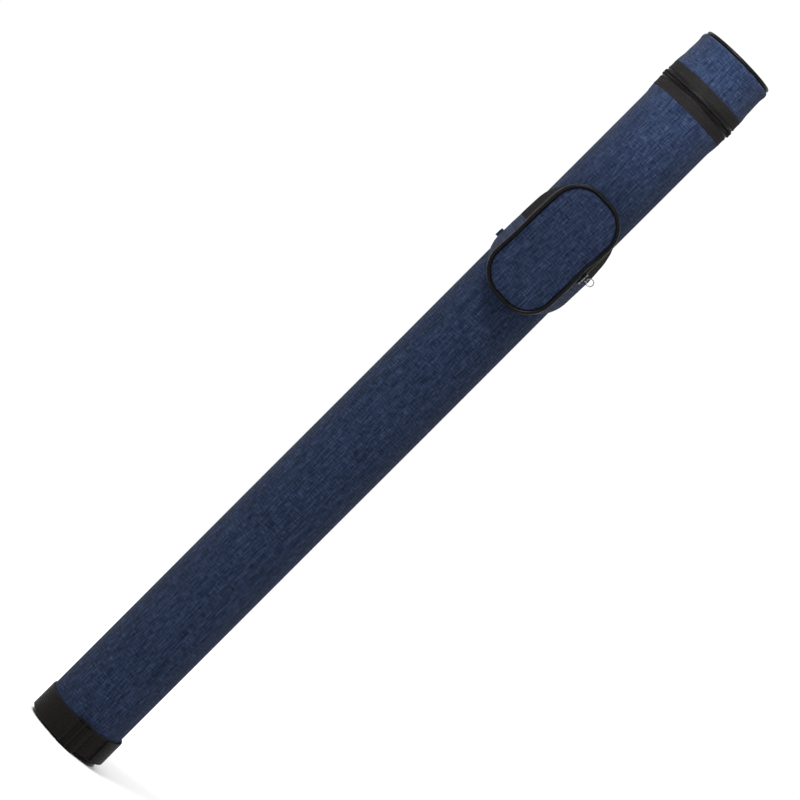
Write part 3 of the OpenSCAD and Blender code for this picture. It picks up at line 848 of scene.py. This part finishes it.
LEAD_FROM, LEAD_TO = 50, 160
lead_rows = []
for across in ACROSS:
    row = []
    for b in between(LEAD_FROM, LEAD_TO, 90):
        start = max(0.0, 1 - (b - LEAD_FROM) / 2.2)
        lift = rib_lift(across) * 0.8 - 0.35 * start ** 2
        row.append(at_bearing(b, LEAD_R - 0.05 + lift, loop_height(b, LEAD_R) + across * 1.004))
    lead_rows.append(row)
lead_flat = [[(math.radians(b) * LEAD_R, a + WEB_W / 2) for b in between(LEAD_FROM, LEAD_TO, 90)]
             for a in ACROSS]
strap_lead = cloth_shell("strap_lead_webbing", lead_rows, WEB_T - 0.2, WEBBING, flat=lead_flat)
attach(strap_lead, "tube")
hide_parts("strap_lead")

STRAP_TOP = 747.5
STRAP_FOOT = 13.0
STRAP_Y = 40.9
strap_rows = []
for across in ACROSS:
    row = []
    for z in between(STRAP_FOOT, STRAP_TOP, 150):
        free = math.sin(math.pi * (z - STRAP_FOOT) / (STRAP_TOP - STRAP_FOOT))
        sway = 0.12 * free * math.sin(z / 61) + 0.05 * math.sin(z / 17)
        hug = -0.10 * (across / (WEB_W / 2)) ** 2
        row.append((across + 0.3 * free * math.sin(z / 140),
                    STRAP_Y - 0.1 + rib_lift(across) + sway * 0.5 + hug, z))
    strap_rows.append(row)
strap_flat = [[(z, a + WEB_W / 2) for z in between(STRAP_FOOT, STRAP_TOP, 150)] for a in ACROSS]
strap_back = cloth_shell("back_strap_webbing", strap_rows, WEB_T - 0.2, WEBBING, flat=strap_flat)
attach(strap_back, "tube")
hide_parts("strap_back")

PATCH_HALF = 25
PATCH_LOW, PATCH_TOP = 700.5, 754.5
patch_rows = []
for z in between(PATCH_LOW, PATCH_TOP, 40):
    fall = min(z - PATCH_LOW, PATCH_TOP - z)
    row = []
    for b in between(180 - PATCH_HALF, 180 + PATCH_HALF, 50):
        side_fall = (PATCH_HALF - abs(b - 180)) * math.radians(LOOP_R) * 1.0
        edge = math.exp(-max(0.0, min(fall, side_fall)) / 0.9)
        row.append(at_bearing(b, LOOP_R - 0.25 - 0.45 * edge, z))
    patch_rows.append(row)
patch = cloth_shell("strap_patch_cloth", patch_rows, 0.75, NAVY)
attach(patch, "tube")
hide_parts("strap_patch")

patch_bearings = between(180 - PATCH_HALF + 2.4, 180 + PATCH_HALF - 2.4, 80)
ends = []
for z in (PATCH_LOW + 1.8, PATCH_TOP - 1.8):
    ends += stitch_run([at_bearing(b, LOOP_R - 0.18, z) for b in patch_bearings],
                       [at_bearing(b, 1, 0) for b in patch_bearings], 2.3, 0.8)
for b in (patch_bearings[0], patch_bearings[-1]):
    heights = between(PATCH_LOW + 1.8, PATCH_TOP - 1.8, 80)
    ends += stitch_run([at_bearing(b, LOOP_R - 0.18, z) for z in heights],
                       [at_bearing(b, 1, 0)] * 81, 2.3, 0.8)
patch_stitches = pods("patch_stitches", ends, 0.18, NAVY_THREAD, 6, 0.8)
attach(patch_stitches, "tube")


def strap_stitch_lines(corners, steps):
    """Stitches along straight lines on the back strap. corners holds (x, z) pairs."""
    ends = []
    for (x0, z0), (x1, z1) in zip(corners, corners[1:]):
        line = [(x0 + (x1 - x0) * t, STRAP_Y - 0.02, z0 + (z1 - z0) * t) for t in between(0, 1, steps)]
        ends += stitch_run(line, [(0, 1, 0)] * (steps + 1), 2.3, 0.8)
    return ends


top_box = [(-10.5, 707), (10.5, 707), (10.5, 743), (-10.5, 743), (-10.5, 707), (10.5, 743)]
top_cross = [(-10.5, 743), (10.5, 707)]
low_box = [(-9.5, 15.5), (9.5, 15.5), (9.5, 30.5), (-9.5, 30.5), (-9.5, 15.5)]
ends = strap_stitch_lines(top_box, 60) + strap_stitch_lines(top_cross, 60) + strap_stitch_lines(low_box, 40)
for b in (LEAD_FROM + 2.5, LEAD_FROM + 6.0, LEAD_TO - 3.0):
    line = [at_bearing(b, LEAD_R - 0.02, loop_height(b, LEAD_R) + t) for t in between(-11, 11, 40)]
    ends += stitch_run(line, [at_bearing(b, 1, 0)] * 41, 2.2, 0.8)
strap_stitches = pods("strap_stitches", ends, 0.19, BLACK_THREAD, 6, 0.8)
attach(strap_stitches, "tube")


# ---- Tri-glide and the folded strap end ---------------------------------------------------------
# A moulded three-bar slide sits on the loop, with rounded edges and a raised centre bar. The loose
# end of the webbing goes over one outer bar, under the centre bar and over the other.
GLIDE_BEARING = 8.6
GLIDE_R = 42.05
GLIDE_PLASTIC = moulded("glide_moulding", (0.0034, 0.0032, 0.0031), 0.5, 1500, 0.00003, 0.07)


def cell_solid(name, stops, filled, material, bevel, place, corners):
    """One solid from filled cells of a box grid, with rounded edges, carried by place(a, b, c)."""
    a_stops, b_stops, c_stops = stops
    work = bmesh.new()
    made = {}

    def vert(i, j, k):
        if (i, j, k) not in made:
            made[i, j, k] = work.verts.new((a_stops[i], b_stops[j], c_stops[k]))
        return made[i, j, k]

    full = {(i, j, k) for i in range(len(a_stops) - 1) for j in range(len(b_stops) - 1)
            for k in range(len(c_stops) - 1) if filled(i, j, k)}
    for i, j, k in full:
        sides = {(-1, 0, 0): [(0, 0, 0), (0, 0, 1), (0, 1, 1), (0, 1, 0)],
                 (1, 0, 0): [(1, 0, 0), (1, 1, 0), (1, 1, 1), (1, 0, 1)],
                 (0, -1, 0): [(0, 0, 0), (1, 0, 0), (1, 0, 1), (0, 0, 1)],
                 (0, 1, 0): [(0, 1, 0), (0, 1, 1), (1, 1, 1), (1, 1, 0)],
                 (0, 0, -1): [(0, 0, 0), (0, 1, 0), (1, 1, 0), (1, 0, 0)],
                 (0, 0, 1): [(0, 0, 1), (1, 0, 1), (1, 1, 1), (0, 1, 1)]}
        for (di, dj, dk), quad in sides.items():
            if (i + di, j + dj, k + dk) not in full:
                work.faces.new([vert(i + a, j + b, k + c) for a, b, c in quad])
    bmesh.ops.recalc_face_normals(work, faces=work.faces)
    reach, test = corners
    picked = [e for e in work.edges if test(e.verts[0].co, e.verts[1].co)]
    bmesh.ops.bevel(work, geom=picked, offset=reach, segments=5, profile=0.5, affect="EDGES")
    sharp = [e for e in work.edges if len(e.link_faces) == 2 and e.calc_face_angle(0) > 0.7]
    bmesh.ops.bevel(work, geom=sharp, offset=bevel, segments=3, profile=0.5, affect="EDGES",
                    clamp_overlap=True)
    bmesh.ops.triangulate(work, faces=[f for f in work.faces if len(f.verts) > 4])
    verts = [place(*v.co) for v in work.verts]
    work.verts.index_update()
    faces = [tuple(v.index for v in f.verts) for f in work.faces]
    work.free()
    return make_object(name, np.asarray(verts) * MM, faces, material, None, 35)


def on_glide(s, radius, z):
    """s is the distance round the tube from the glide's middle, measured on the frame's face."""
    return at_bearing(GLIDE_BEARING + math.degrees(s / GLIDE_R), radius, z)


glide_stops = ((-9, -6.1, -1.2, 1.2, 6.1, 9), (39.97, 41.42, 42.25), (0.3, 1.8, 28.6, 30.1))


def glide_cell(i, j, k):
    """Which cells are plastic: two windows are open, and the bar between them is thin."""
    if k != 1:
        return True
    return i in (0, 4) or (i == 2 and j == 1)


def glide_corner(a, b):
    """The four outside corner edges, which run through the frame's thickness."""
    return (abs(abs(a[0]) - 9) < 1e-6 and abs(abs(b[0]) - 9) < 1e-6 and a[0] * b[0] > 0
            and abs(a[2] - b[2]) < 1e-6 and min(abs(a[2] - 0.3), abs(a[2] - 30.1)) < 1e-6)


glide = cell_solid("tri_glide_moulding", glide_stops, glide_cell, GLIDE_PLASTIC, 0.38, on_glide,
                   corners=(1.25, glide_corner))
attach(glide, "glide")
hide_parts("tri_glide")


def smooth_chain(knots, steps=6):
    """A rounded curve through knots of any size."""
    points = [np.asarray(k, dtype=float) for k in knots]
    points = [2 * points[0] - points[1]] + points + [2 * points[-1] - points[-2]]
    curve = []
    for i in range(1, len(points) - 2):
        p0, p1, p2, p3 = points[i - 1:i + 3]
        for step in range(steps):
            t = step / steps
            curve.append(0.5 * (2 * p1 + (p2 - p0) * t + (2 * p0 - 5 * p1 + 4 * p2 - p3) * t * t
                                + (3 * p1 - p0 - 3 * p2 + p3) * t ** 3))
    curve.append(points[-2])
    return curve


fold_path = smooth_chain([(-18.6, 41.05), (-15.5, 41.1), (-12.4, 41.12), (-10.6, 41.35), (-9.9, 42.3),
                          (-9.2, 43.1), (-7.8, 43.32), (-6.4, 43.1), (-5.6, 42.3), (-4.9, 41.5), (-3.6, 41.14),
                          (0, 41.12),
                          (3.6, 41.14), (4.9, 41.5), (5.6, 42.3), (6.4, 43.1), (7.8, 43.32), (9.2, 43.1),
                          (9.95, 42.4), (10.3, 41.4), (10.3, 40.9)])
FOLD_MIDDLE = 14.6
fold_rows = []
for across in ACROSS:
    fold_rows.append([on_glide(s, r - 0.08 + rib_lift(across), FOLD_MIDDLE + across * 0.995)
                      for s, r in fold_path])
fold_flat = [[(d, a + WEB_W / 2) for d in run_lengths(np.asarray(fold_path))] for a in ACROSS]
fold = cloth_shell("glide_fold_webbing", fold_rows, WEB_T - 0.25, WEBBING, flat=fold_flat)
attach(fold, "glide")
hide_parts("glide_fold")


# ---- Main slider and pull -----------------------------------------------------------------------
# A black enamelled slider runs on the coils: a shouldered plate with an arched bridge. A gunmetal
# wire loop on the bridge carries a moulded rubber tab with ribs for the fingers.
SLIDER_BEARING = 131
SLIDER_IN = 41.4
SLIDER_T = 1.3
BRIDGE_R = 45.6


def gunmetal():
    """Dark plated zinc, a little worn: cloudy tone and uneven gloss."""
    metal = Shader("gunmetal")
    at = metal.place("Object")
    cloudy = metal.noise(at, 500, 3, 0.6)
    metal.colour(metal.tint(cloudy, (0.20, 0.20, 0.205), (0.35, 0.7), (0.7, 1.8)))
    wires = (("Value", metal.noise(at, 2500, 3, 0.6)), ("To Min", 0.22), ("To Max", 0.44))
    metal.tree.links.new(metal.add("ShaderNodeMapRange", wires).outputs[0], metal.skin.inputs["Roughness"])
    metal.bump(cloudy, 0.00002, 0.6)
    metal.set(Metallic=0.9)
    return metal.material


METAL = gunmetal()
PAINT = moulded("black_enamel", (0.0045, 0.0045, 0.0050), 0.3, 900, 0.00001)
RUBBER = moulded("pull_rubber", (0.016, 0.016, 0.017), 0.6, 2200, 0.00004)


def frame_at(bearing):
    """Directions out of the tube and round it, at a bearing."""
    return Vector(at_bearing(bearing, 1, 0)), Vector(at_bearing(bearing + 90, 1, 0))


def shield(name, outline, low, high, place, bevel=0.3):
    """A plate from an outline of (a, b) points, from low to high, with rounded edges."""
    work = bmesh.new()
    face = work.faces.new([work.verts.new((a, b, low)) for a, b in outline])
    lifted = bmesh.ops.extrude_face_region(work, geom=[face])["geom"]
    for item in lifted:
        if isinstance(item, bmesh.types.BMVert):
            item.co.z = high
    bmesh.ops.recalc_face_normals(work, faces=work.faces)
    edges = [e for e in work.edges if len(e.link_faces) == 2 and e.calc_face_angle(0) > 0.9]
    bmesh.ops.bevel(work, geom=edges, offset=bevel, segments=3, profile=0.5, affect="EDGES")
    bmesh.ops.triangulate(work, faces=[f for f in work.faces if len(f.verts) > 4])
    work.verts.index_update()
    verts = [place(*v.co) for v in work.verts]
    faces = [tuple(v.index for v in f.verts) for f in work.faces]
    work.free()
    return make_object(name, np.asarray(verts) * MM, faces, METAL, None, 35)


def joined(name, pieces):
    """Several meshes in one object."""
    work = bmesh.new()
    for piece in pieces:
        work.from_mesh(piece.data)
    mesh = bpy.data.meshes.new(name)
    work.to_mesh(mesh)
    work.free()
    for material in pieces[0].data.materials:
        mesh.materials.append(material)
    for piece in pieces:
        bpy.data.objects.remove(piece)
    whole = bpy.data.objects.new(name, mesh)
    scene.collection.objects.link(whole)
    for face in mesh.polygons:
        face.use_smooth = True
    mesh.set_sharp_from_angle(angle=math.radians(40))
    return whole


def bar_frames(points, side):
    """Frames along a bent bar, with side as its constant cross direction."""
    side = Vector(side).normalized()
    frames = []
    for i, point in enumerate(points):
        a, b = Vector(points[max(i - 1, 0)]), Vector(points[min(i + 1, len(points) - 1)])
        run = (b - a).normalized()
        frames.append((point, side, run.cross(side).normalized()))
    return frames


def oval_section(half_side, half_out, steps=14, squareness=0.7):
    points = []
    for i in range(steps):
        turn = 2 * math.pi * i / steps
        c, s = math.cos(turn), math.sin(turn)
        points.append((half_side * math.copysign(abs(c) ** squareness, c),
                       half_out * math.copysign(abs(s) ** squareness, s)))
    return points


slider_out, slider_round = frame_at(SLIDER_BEARING)


def on_slider(along, up, out):
    """along runs round the tube, up is +Z from the zip's centre, and out is the distance from the axis."""
    return slider_out * out + slider_round * along + Vector((0, 0, ZIP_Z + up))


# The plate is widest behind its nose, and waisted at the end where the closed zip leaves it.
plate_outline = [(-4.9, -2.3), (-4.3, -3.1), (-2.0, -3.2), (1.2, -4.1), (3.6, -4.1), (4.9, -2.9),
                 (4.9, 2.9), (3.6, 4.1), (1.2, 4.1), (-2.0, 3.2), (-4.3, 3.1), (-4.9, 2.3)]
plate = shield("plate", plate_outline, SLIDER_IN + 0.1, SLIDER_IN + SLIDER_T - 0.1, on_slider)
arch = smooth_chain([(-3.6, 0, 42.2), (-3.5, 0, 44.4), (-2.6, 0, 45.45), (0, 0, BRIDGE_R), (2.6, 0, 45.45),
                     (3.5, 0, 44.4), (3.6, 0, 42.2)], 5)
bridge = sweep("bridge", bar_frames([on_slider(*p) for p in arch], (0, 0, 1)), oval_section(0.95, 0.5), METAL)
plate.data.materials[0] = PAINT
bridge.data.materials[0] = PAINT
main_slider = joined("main_slider_metal", [plate, bridge])
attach(main_slider, "main_slider")
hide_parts("main_slider")

loop_centre = -(2 - 0.45 - 0.6 - 0.15)
loop_points = []
for i in range(25):
    turn = math.radians(-70 + 320 * i / 24)
    loop_points.append(on_slider(0, loop_centre + 2 * math.sin(turn), BRIDGE_R + 2 * math.cos(turn)))
wire = sweep("main_pull_wire", bar_frames(loop_points, slider_round), circle_section(0.44, 12), METAL)
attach(wire, "main_pull")

TAB_LOW, TAB_TOP = -27.4, -2.5
tab_rows = []
tab_steps = 60
for i in range(tab_steps + 1):
    t = i / tab_steps
    z = TAB_LOW + (TAB_TOP - TAB_LOW) * t
    narrow = 1 - 0.42 * max(0, (t - 0.72) / 0.28) ** 1.5
    low_end = math.sqrt(max(0.0, 1 - max(0, 0.06 - t) ** 2 / 0.0036))
    end = low_end * math.sqrt(max(0.05, 1 - max(0, t - 0.96) ** 2 / 0.0020))
    half = 3.5 * narrow * max(0.55, end)
    grip = 0.17 * math.cos(2 * math.pi * z / 1.9) if 0.12 < t < 0.66 else 0.0
    thick = 0.62 + grip if t < 0.8 else 0.62 + 0.35 * (t - 0.8)
    thick *= max(0.45, end)
    tab_rows.append((z, half, thick))
verts, faces = [], []
section_steps = 24
for z, half, thick in tab_rows:
    for a, o in oval_section(half, thick, section_steps, 0.42):
        verts.append(on_slider(a, z, BRIDGE_R + o))
for i in range(tab_steps):
    for j in range(section_steps):
        k = (j + 1) % section_steps
        faces.append((i * section_steps + j, i * section_steps + k, (i + 1) * section_steps + k,
                      (i + 1) * section_steps + j))
faces.append(tuple(range(section_steps)))
faces.append(tuple(tab_steps * section_steps + j for j in range(section_steps)))
tab = make_object("main_pull_tab", [v * MM for v in verts], faces, RUBBER, None, 45)
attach(tab, "main_pull")
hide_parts("main_pull")


# ---- Pocket gusset ------------------------------------------------------------------------------
# The pocket is a rounded box of cloth on the front of the tube. Its gusset is one soft strip that
# leans out from the piping to the tube's flanks, puckers a little at the corners, and is sewn down
# to the cover. Below the flap's fold it is plain cloth; above it, the zip is set into it.
POCKET_X, POCKET_Z, POCKET_LEAN = 1.6, 606.6, math.radians(1.9)
PIPE_Y = -58.9
FORM_FRONT = (-58.0, 32.5, 61.5, 27.0)
FORM_BULGE = (-16.04, 41.8, 62.5, 40.8)
FORM_BACK = (-4.97, 37.6, 62.5, 32.0)
FOLD = 1.4
POCKET_ZIP_Y = -47.7
# The last setting is the strength of the painted highlight on the rib crests.
POCKET_TAPE = ribbed("pocket_tape", (0.0024, 0.0022, 0.0021), 0.00125, rough=0.85, crest_highlight=0.4)


def on_pocket(x, y, z):
    """A point of the pocket's own frame, which leans a little towards +X at its top."""
    c, s = math.cos(POCKET_LEAN), math.sin(POCKET_LEAN)
    return (POCKET_X + x * c + z * s, y, POCKET_Z - x * s + z * c)


def form_at(y, grow=0.0):
    """Half width, half length and corner radius of the pocket's outline at a depth."""
    near, far = (FORM_FRONT, FORM_BULGE) if y < FORM_BULGE[0] else (FORM_BULGE, FORM_BACK)
    t = min(max((y - near[0]) / (far[0] - near[0]), 0), 1)
    return tuple(near[i] + (far[i] - near[i]) * t + grow for i in (1, 2, 3))


def half_outline(w, l, r, end, counts=(26, 22, 8)):
    """Half of the outline, from the fold on +X round one end to the fold on -X: (x, z) points."""
    points = [(w, z) for z in between(FOLD, end * (l - r), counts[0])[:-1]]
    for turn in between(0, 90, counts[1])[:-1]:
        a = math.radians(turn)
        points.append((w - r + r * math.cos(a), end * (l - r + r * math.sin(a))))
    points += [(x, end * l) for x in between(w - r, -(w - r), counts[2])[:-1]]
    for turn in between(90, 180, counts[1])[:-1]:
        a = math.radians(turn)
        points.append((-(w - r) + r * math.cos(a), end * (l - r + r * math.sin(a))))
    points += [(-w, z) for z in between(end * (l - r), FOLD, counts[0])]
    return points


def tube_depth(column):
    """The depth at which a column of the form meets the tube. column gives the point at a depth."""
    near, far, radius = -57.0, -5.2, TUBE_R + 0.02
    for _ in range(30):
        middle = (near + far) / 2
        x, y, _ = column(middle)
        if x * x + y * y > radius * radius:
            near = middle
        else:
            far = middle
    return near


def pucker(j, count, depth, end):
    """Small folds across the gusset where it goes round a corner, strongest near the piping."""
    t = j / (count - 1)
    corner_one = math.exp(-((t - 0.33) / 0.10) ** 2)
    corner_two = math.exp(-((t - 0.67) / 0.10) ** 2)
    fine = math.sin(j * 0.83 + end) * 0.6 + math.sin(j * 0.37 + 1.7 * end) * 0.4
    near_seam = math.exp(-depth / 7.0)
    return 0.55 * fine * (corner_one + corner_two) * near_seam * min(1, depth / 1.5)


def gusset_strip(name, end, front, back, material, body, node, thick, rows_deep=26, columns=None,
                 soft=True):
    """A band of the pocket's side. back is a depth, or None to run on to the tube."""
    outline_count = len(half_outline(*form_at(front), end))
    picked = range(outline_count) if columns is None else columns
    grid = []
    for i in range(rows_deep + 1):
        row = []
        for j in picked:
            def column(y, grow=0.0):
                x, z = half_outline(*form_at(y, grow), end)[j]
                return on_pocket(x, y, z)
            stop = back if back is not None else tube_depth(column)
            start = min(front, stop - 0.05)
            y = start + (stop - start) * i / rows_deep
            depth = y - FORM_FRONT[0]
            grow = 0.0
            if soft:
                free = i / rows_deep
                grow = 0.5 * math.sin(math.pi * free) + pucker(j, outline_count, depth, end)
            if end > 0:
                x, z = half_outline(*form_at(y), end)[j]
                flank = min(max((x - 20) / 12, 0), 1) * min(max((z - 4) / 26, 0), 1)
                grow -= 2.6 * flank * min(depth / 20, 1)
            row.append(column(y, grow))
        grid.append(row)
    made = cloth_shell(name, grid, thick, material, flip=end > 0)
    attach(made, body)
    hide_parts(node)
    return made


gusset_strip("pocket_gusset_cloth", -1, -57.4, None, NAVY, "tube", "pocket_gusset", 1.1, 30)
all_columns = len(half_outline(*form_at(-50), 1))
flank_columns = []
for j in range(all_columns):
    def top_column(y, j=j):
        x, z = half_outline(*form_at(y), 1)[j]
        return on_pocket(x, y, z)
    flank_columns.append(tube_depth(top_column) > -36.6)
first_gap = flank_columns.index(False)
last_gap = all_columns - 1 - flank_columns[::-1].index(False)
for hand, picked_columns in (("right", range(0, first_gap)), ("left", range(last_gap + 1, all_columns))):
    gusset_strip("pocket_flank_" + hand, 1, -37.5, None, POCKET_TAPE, "tube", "pocket_gusset_flanks", 1.1,
                 16, picked_columns)


# ---- Pocket zip ---------------------------------------------------------------------------------
# A lighter coil zip goes round the flap's end of the gusset, from the fold on one flank to the fold
# on the other. Its front half opens with the flap.
GUSSET_SLOPE = 0.2217


def out_of_gusset(run, place):
    """The direction out of the gusset, square to a line that runs round it."""
    out = run.cross(Vector((0, 1, 0))).normalized()
    return -out if out.dot(place - Vector(on_pocket(0, 0, 20))) < 0 else out


for node, body, front, back in (("pocket_zip_tape_front", "flap", -57.3, -50.2),
                                ("pocket_zip_tape_rear", "tube", -45.2, -37.42)):
    gusset_strip(node + "_woven", 1, front, back, POCKET_TAPE, body, node, 0.85, 8, soft=False)

for node, body, near, far in (("pocket_zip_coil_front", "flap", -47.87, -50.3),
                              ("pocket_zip_coil_rear", "tube", -47.53, -45.1)):
    middle = (near + far) / 2
    cord_rows = []
    for y in (near + (far - near) * t for t in (0.08, 0.35, 0.65, 0.98)):
        cord_rows.append([on_pocket(x, y, z) for x, z in half_outline(*form_at(y, -0.35), 1)])
    cord = cloth_shell(node + "_cord", cord_rows, 0.5, POCKET_TAPE, flip=far > near)
    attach(cord, body)
    line = [Vector(on_pocket(x, middle, z)) for x, z in half_outline(*form_at(middle, 0.0), 1)]
    travelled = run_lengths(np.asarray([tuple(p) for p in line]))
    turns, at = [], 0.8 if body == "flap" else 1.4
    while at < travelled[-1] - 0.6:
        i = min(int(np.searchsorted(travelled, at)), len(line) - 1)
        t = (at - travelled[i - 1]) / (travelled[i] - travelled[i - 1])
        place = line[i - 1].lerp(line[i], t)
        out = out_of_gusset((line[i] - line[i - 1]).normalized(), place)
        slope = GUSSET_SLOPE * min(1, abs(out.x) * 1.2)
        lean = out * slope * (far - near) / 2
        start = place + Vector((0, (near - far) / 2, 0)) - lean
        stop = place - Vector((0, (near - far) / 2, 0)) + lean
        turns.append((start, stop, out))
        at += 1.2
    coil = pods(node + "_turns", turns, 0.53, COIL, sides=7, flatten=0.85)
    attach(coil, body)
    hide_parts(node)

for body, depth in (("flap", -51.6), ("tube", -43.9)):
    outline = half_outline(*form_at(depth, 0.03), 1, (60, 50, 20))
    line = [on_pocket(x, depth, z) for x, z in outline]
    outs = []
    for i in range(len(line)):
        a, b = Vector(line[max(i - 1, 0)]), Vector(line[min(i + 1, len(line) - 1)])
        outs.append(out_of_gusset((b - a).normalized(), Vector(line[i])))
    seam = pods(f"pocket_zip_stitches_{body}", stitch_run(line, outs, 2.0, 0.8), 0.15, BLACK_THREAD, 6, 0.8)
    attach(seam, body)


# ---- Pocket front and its piping ----------------------------------------------------------------
# The front is one padded panel of the same cloth over thin foam. It bulges a little. The piping
# is sewn into its edge all the way round, and the panel dips into a groove beside it.
PANEL_W, PANEL_L, PANEL_R = 30.5, 59.5, 25.0
PIPE_R = 1.75


def edge_distance(x, z):
    """How far a point of the panel lies from its edge."""
    ax, az = abs(x) - (PANEL_W - PANEL_R), abs(z) - (PANEL_L - PANEL_R)
    if ax > 0 and az > 0:
        return PANEL_R - math.hypot(ax, az)
    return min(PANEL_W - abs(x), PANEL_L - abs(z))


def panel_width(z):
    over = abs(z) - (PANEL_L - PANEL_R)
    if over <= 0:
        return PANEL_W
    return PANEL_W - PANEL_R + math.sqrt(max(0.0, PANEL_R ** 2 - over ** 2))


panel_rows = []
for level in between(-1, 1, 84):
    z = PANEL_L * math.sin(level * math.pi / 2 * 0.86) / math.sin(math.pi / 2 * 0.86)
    row = []
    for across in between(-1, 1, 46):
        spread = math.sin(across * math.pi / 2 * 0.86) / math.sin(math.pi / 2 * 0.86)
        x = panel_width(z) * spread
        inside = max(0.0, edge_distance(x, z))
        crown = (1 - (x / PANEL_W) ** 2) * (1 - (z / PANEL_L) ** 4)
        roll = 2.0 * (1 - math.exp(-inside / 1.5))
        ripple = 0.10 * math.sin(x / 6.3 + 1.1) * math.sin(z / 11.0) + 0.06 * math.sin(z / 4.7 + x / 9)
        y = -58.0 - roll - 0.6 * crown + ripple * min(1, inside / 6)
        row.append((x, y, z))
    panel_rows.append(row)
front_rows = [[on_pocket(*p) for p in row] for row in panel_rows]
flat_cloth = [[(p[0], p[2]) for p in row] for row in panel_rows]
panel = cloth_shell("pocket_front_panel", front_rows, 1.3, NAVY, flat=flat_cloth)
rim = [v.index for v in panel.data.vertices
       if v.co.y / MM > -58.9 and v.index < len(panel_rows) * len(panel_rows[0])]
rim += [v.index for v in panel.data.vertices if v.index >= len(panel_rows) * len(panel_rows[0])]
puffed(panel, rim, 6, 0.5)
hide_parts("pocket_panel", "flap_panel")
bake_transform(panel)

pipe_line = []
for end in (1, -1):
    half = half_outline(32.5, 61.5, 27.0, end, (30, 26, 12))
    pipe_line += half[:-1] if end > 0 else half[::-1][:-1]
frames = []
count = len(pipe_line)
for i in range(count):
    (x0, z0), (x1, z1) = pipe_line[i - 1], pipe_line[(i + 1) % count]
    x, z = pipe_line[i]
    size = math.hypot(x1 - x0, z1 - z0)
    outward = ((z1 - z0) / size, -(x1 - x0) / size)
    dip = 1.5 * math.exp(-((z - 6.5) / 11) ** 2) if x > 20 else 0.25 * math.sin(z / 9)
    place = on_pocket(x - dip, PIPE_Y, z)
    out = Vector(on_pocket(outward[0], 0, outward[1])) - Vector(on_pocket(0, 0, 0))
    frames.append((place, (0, -1, 0), tuple(out)))
pocket_piping = sweep("pocket_piping_cord", frames, circle_section(PIPE_R, 16), PIPING, closed=True)
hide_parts("pocket_piping", "flap_piping")
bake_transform(pocket_piping)


# ---- Pocket slider and ring ---------------------------------------------------------------------
# A small painted slider closes the pocket on the +X flank, with a thin bridge bar. A fine wire ring
# hangs from it on a small link.
FLARE = math.atan(0.22166)
WALL_X = 34.783
PLATE_X = 1.1
BAR_X = 3.7


def on_flank(out, across, along):
    """The slider's own frame: out of the gusset, across the zip (towards the tube) and along it."""
    c, s = math.cos(-FLARE), math.sin(-FLARE)
    return on_pocket(WALL_X + out * c - across * s, POCKET_ZIP_Y + out * s + across * c, FOLD + along)


small_outline = [(-5.9, -2.4), (-5.2, -3.2), (-1.5, -3.1), (2.0, -3.9), (4.6, -3.9), (5.9, -2.7),
                 (5.9, 2.7), (4.6, 3.9), (2.0, 3.9), (-1.5, 3.1), (-5.2, 3.2), (-5.9, 2.4)]
plate = shield("plate", small_outline, PLATE_X + 0.02, PLATE_X + 0.88,
               lambda a, b, out: on_flank(out, b, -a), 0.25)
arch = smooth_chain([(1.6, 0, -3.0), (2.8, 0, -2.95), (BAR_X - 0.15, 0, -2.4), (BAR_X, 0, -1.2),
                     (BAR_X, 0, 1.2), (BAR_X - 0.15, 0, 2.4), (2.8, 0, 2.95), (1.6, 0, 3.0)], 5)
flank_across = Vector(on_flank(0, 1, 0)) - Vector(on_flank(0, 0, 0))
bridge = sweep("bridge", bar_frames([on_flank(*p) for p in arch], flank_across),
               oval_section(0.5, 0.42), METAL)
plate.data.materials[0] = PAINT
bridge.data.materials[0] = PAINT
pocket_slider = joined("pocket_slider_metal", [plate, bridge])
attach(pocket_slider, "pocket_slider")
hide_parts("pocket_slider")

RING_R = 3.4
RING_WIRE = 0.45
RING_X = BAR_X + 0.45 + RING_WIRE + 0.15 + RING_R
RING_UP = 2.2
ring_at_link = RING_X - math.sqrt(RING_R ** 2 - RING_UP ** 2)
LINK_WIRE = 0.3
link_in, link_out = BAR_X - 0.45 - LINK_WIRE - 0.15, ring_at_link + RING_WIRE + LINK_WIRE + 0.15
link_r = (link_out - link_in) / 2
flank_along = Vector(on_flank(0, 0, 1)) - Vector(on_flank(0, 0, 0))
loop, hoop = [], []
for i in range(48):
    turn = 2 * math.pi * i / 48
    loop.append(on_flank(link_in + link_r + link_r * math.cos(turn), link_r * math.sin(turn), 0))
    hoop.append(on_flank(RING_X + RING_R * math.cos(turn), 0, RING_UP + RING_R * math.sin(turn)))


def closed_frames(points, side):
    """Frames round a closed wire that lies in one plane."""
    frames = []
    for i in range(len(points)):
        run = (Vector(points[(i + 1) % len(points)]) - Vector(points[i - 1])).normalized()
        frames.append((points[i], side, run.cross(side).normalized()))
    return frames


link = sweep("link", closed_frames(loop, flank_along), circle_section(LINK_WIRE, 12), METAL, closed=True)
ring = sweep("ring", closed_frames(hoop, flank_across), circle_section(RING_WIRE + 0.05, 14), METAL,
             closed=True)
ring_pull = joined("pocket_ring_metal", [link, ring])
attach(ring_pull, "ring_pull")
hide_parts("pocket_ring")


# ---- Side tab -----------------------------------------------------------------------------------
# A short folded end of the cover's cloth is caught in the gusset's seam on the -X flank.
tab_grid = []
for along in between(-4, 4, 16):
    row = []
    for t in between(0, 1, 20):
        turn = math.pi * t
        round_end = 1 - 0.10 * (along / 4) ** 4
        x = -41.4 - 2.35 * math.sin(turn) ** 0.7 * round_end
        y = -14.5 - 0.95 * math.cos(turn)
        row.append(on_pocket(x, y, -22.6 + along + 0.12 * math.sin(9 * t)))
    tab_grid.append(row)
side_tab = cloth_shell("side_tab_cloth", tab_grid, 0.55, NAVY)
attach(side_tab, "tube")
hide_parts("side_tab")
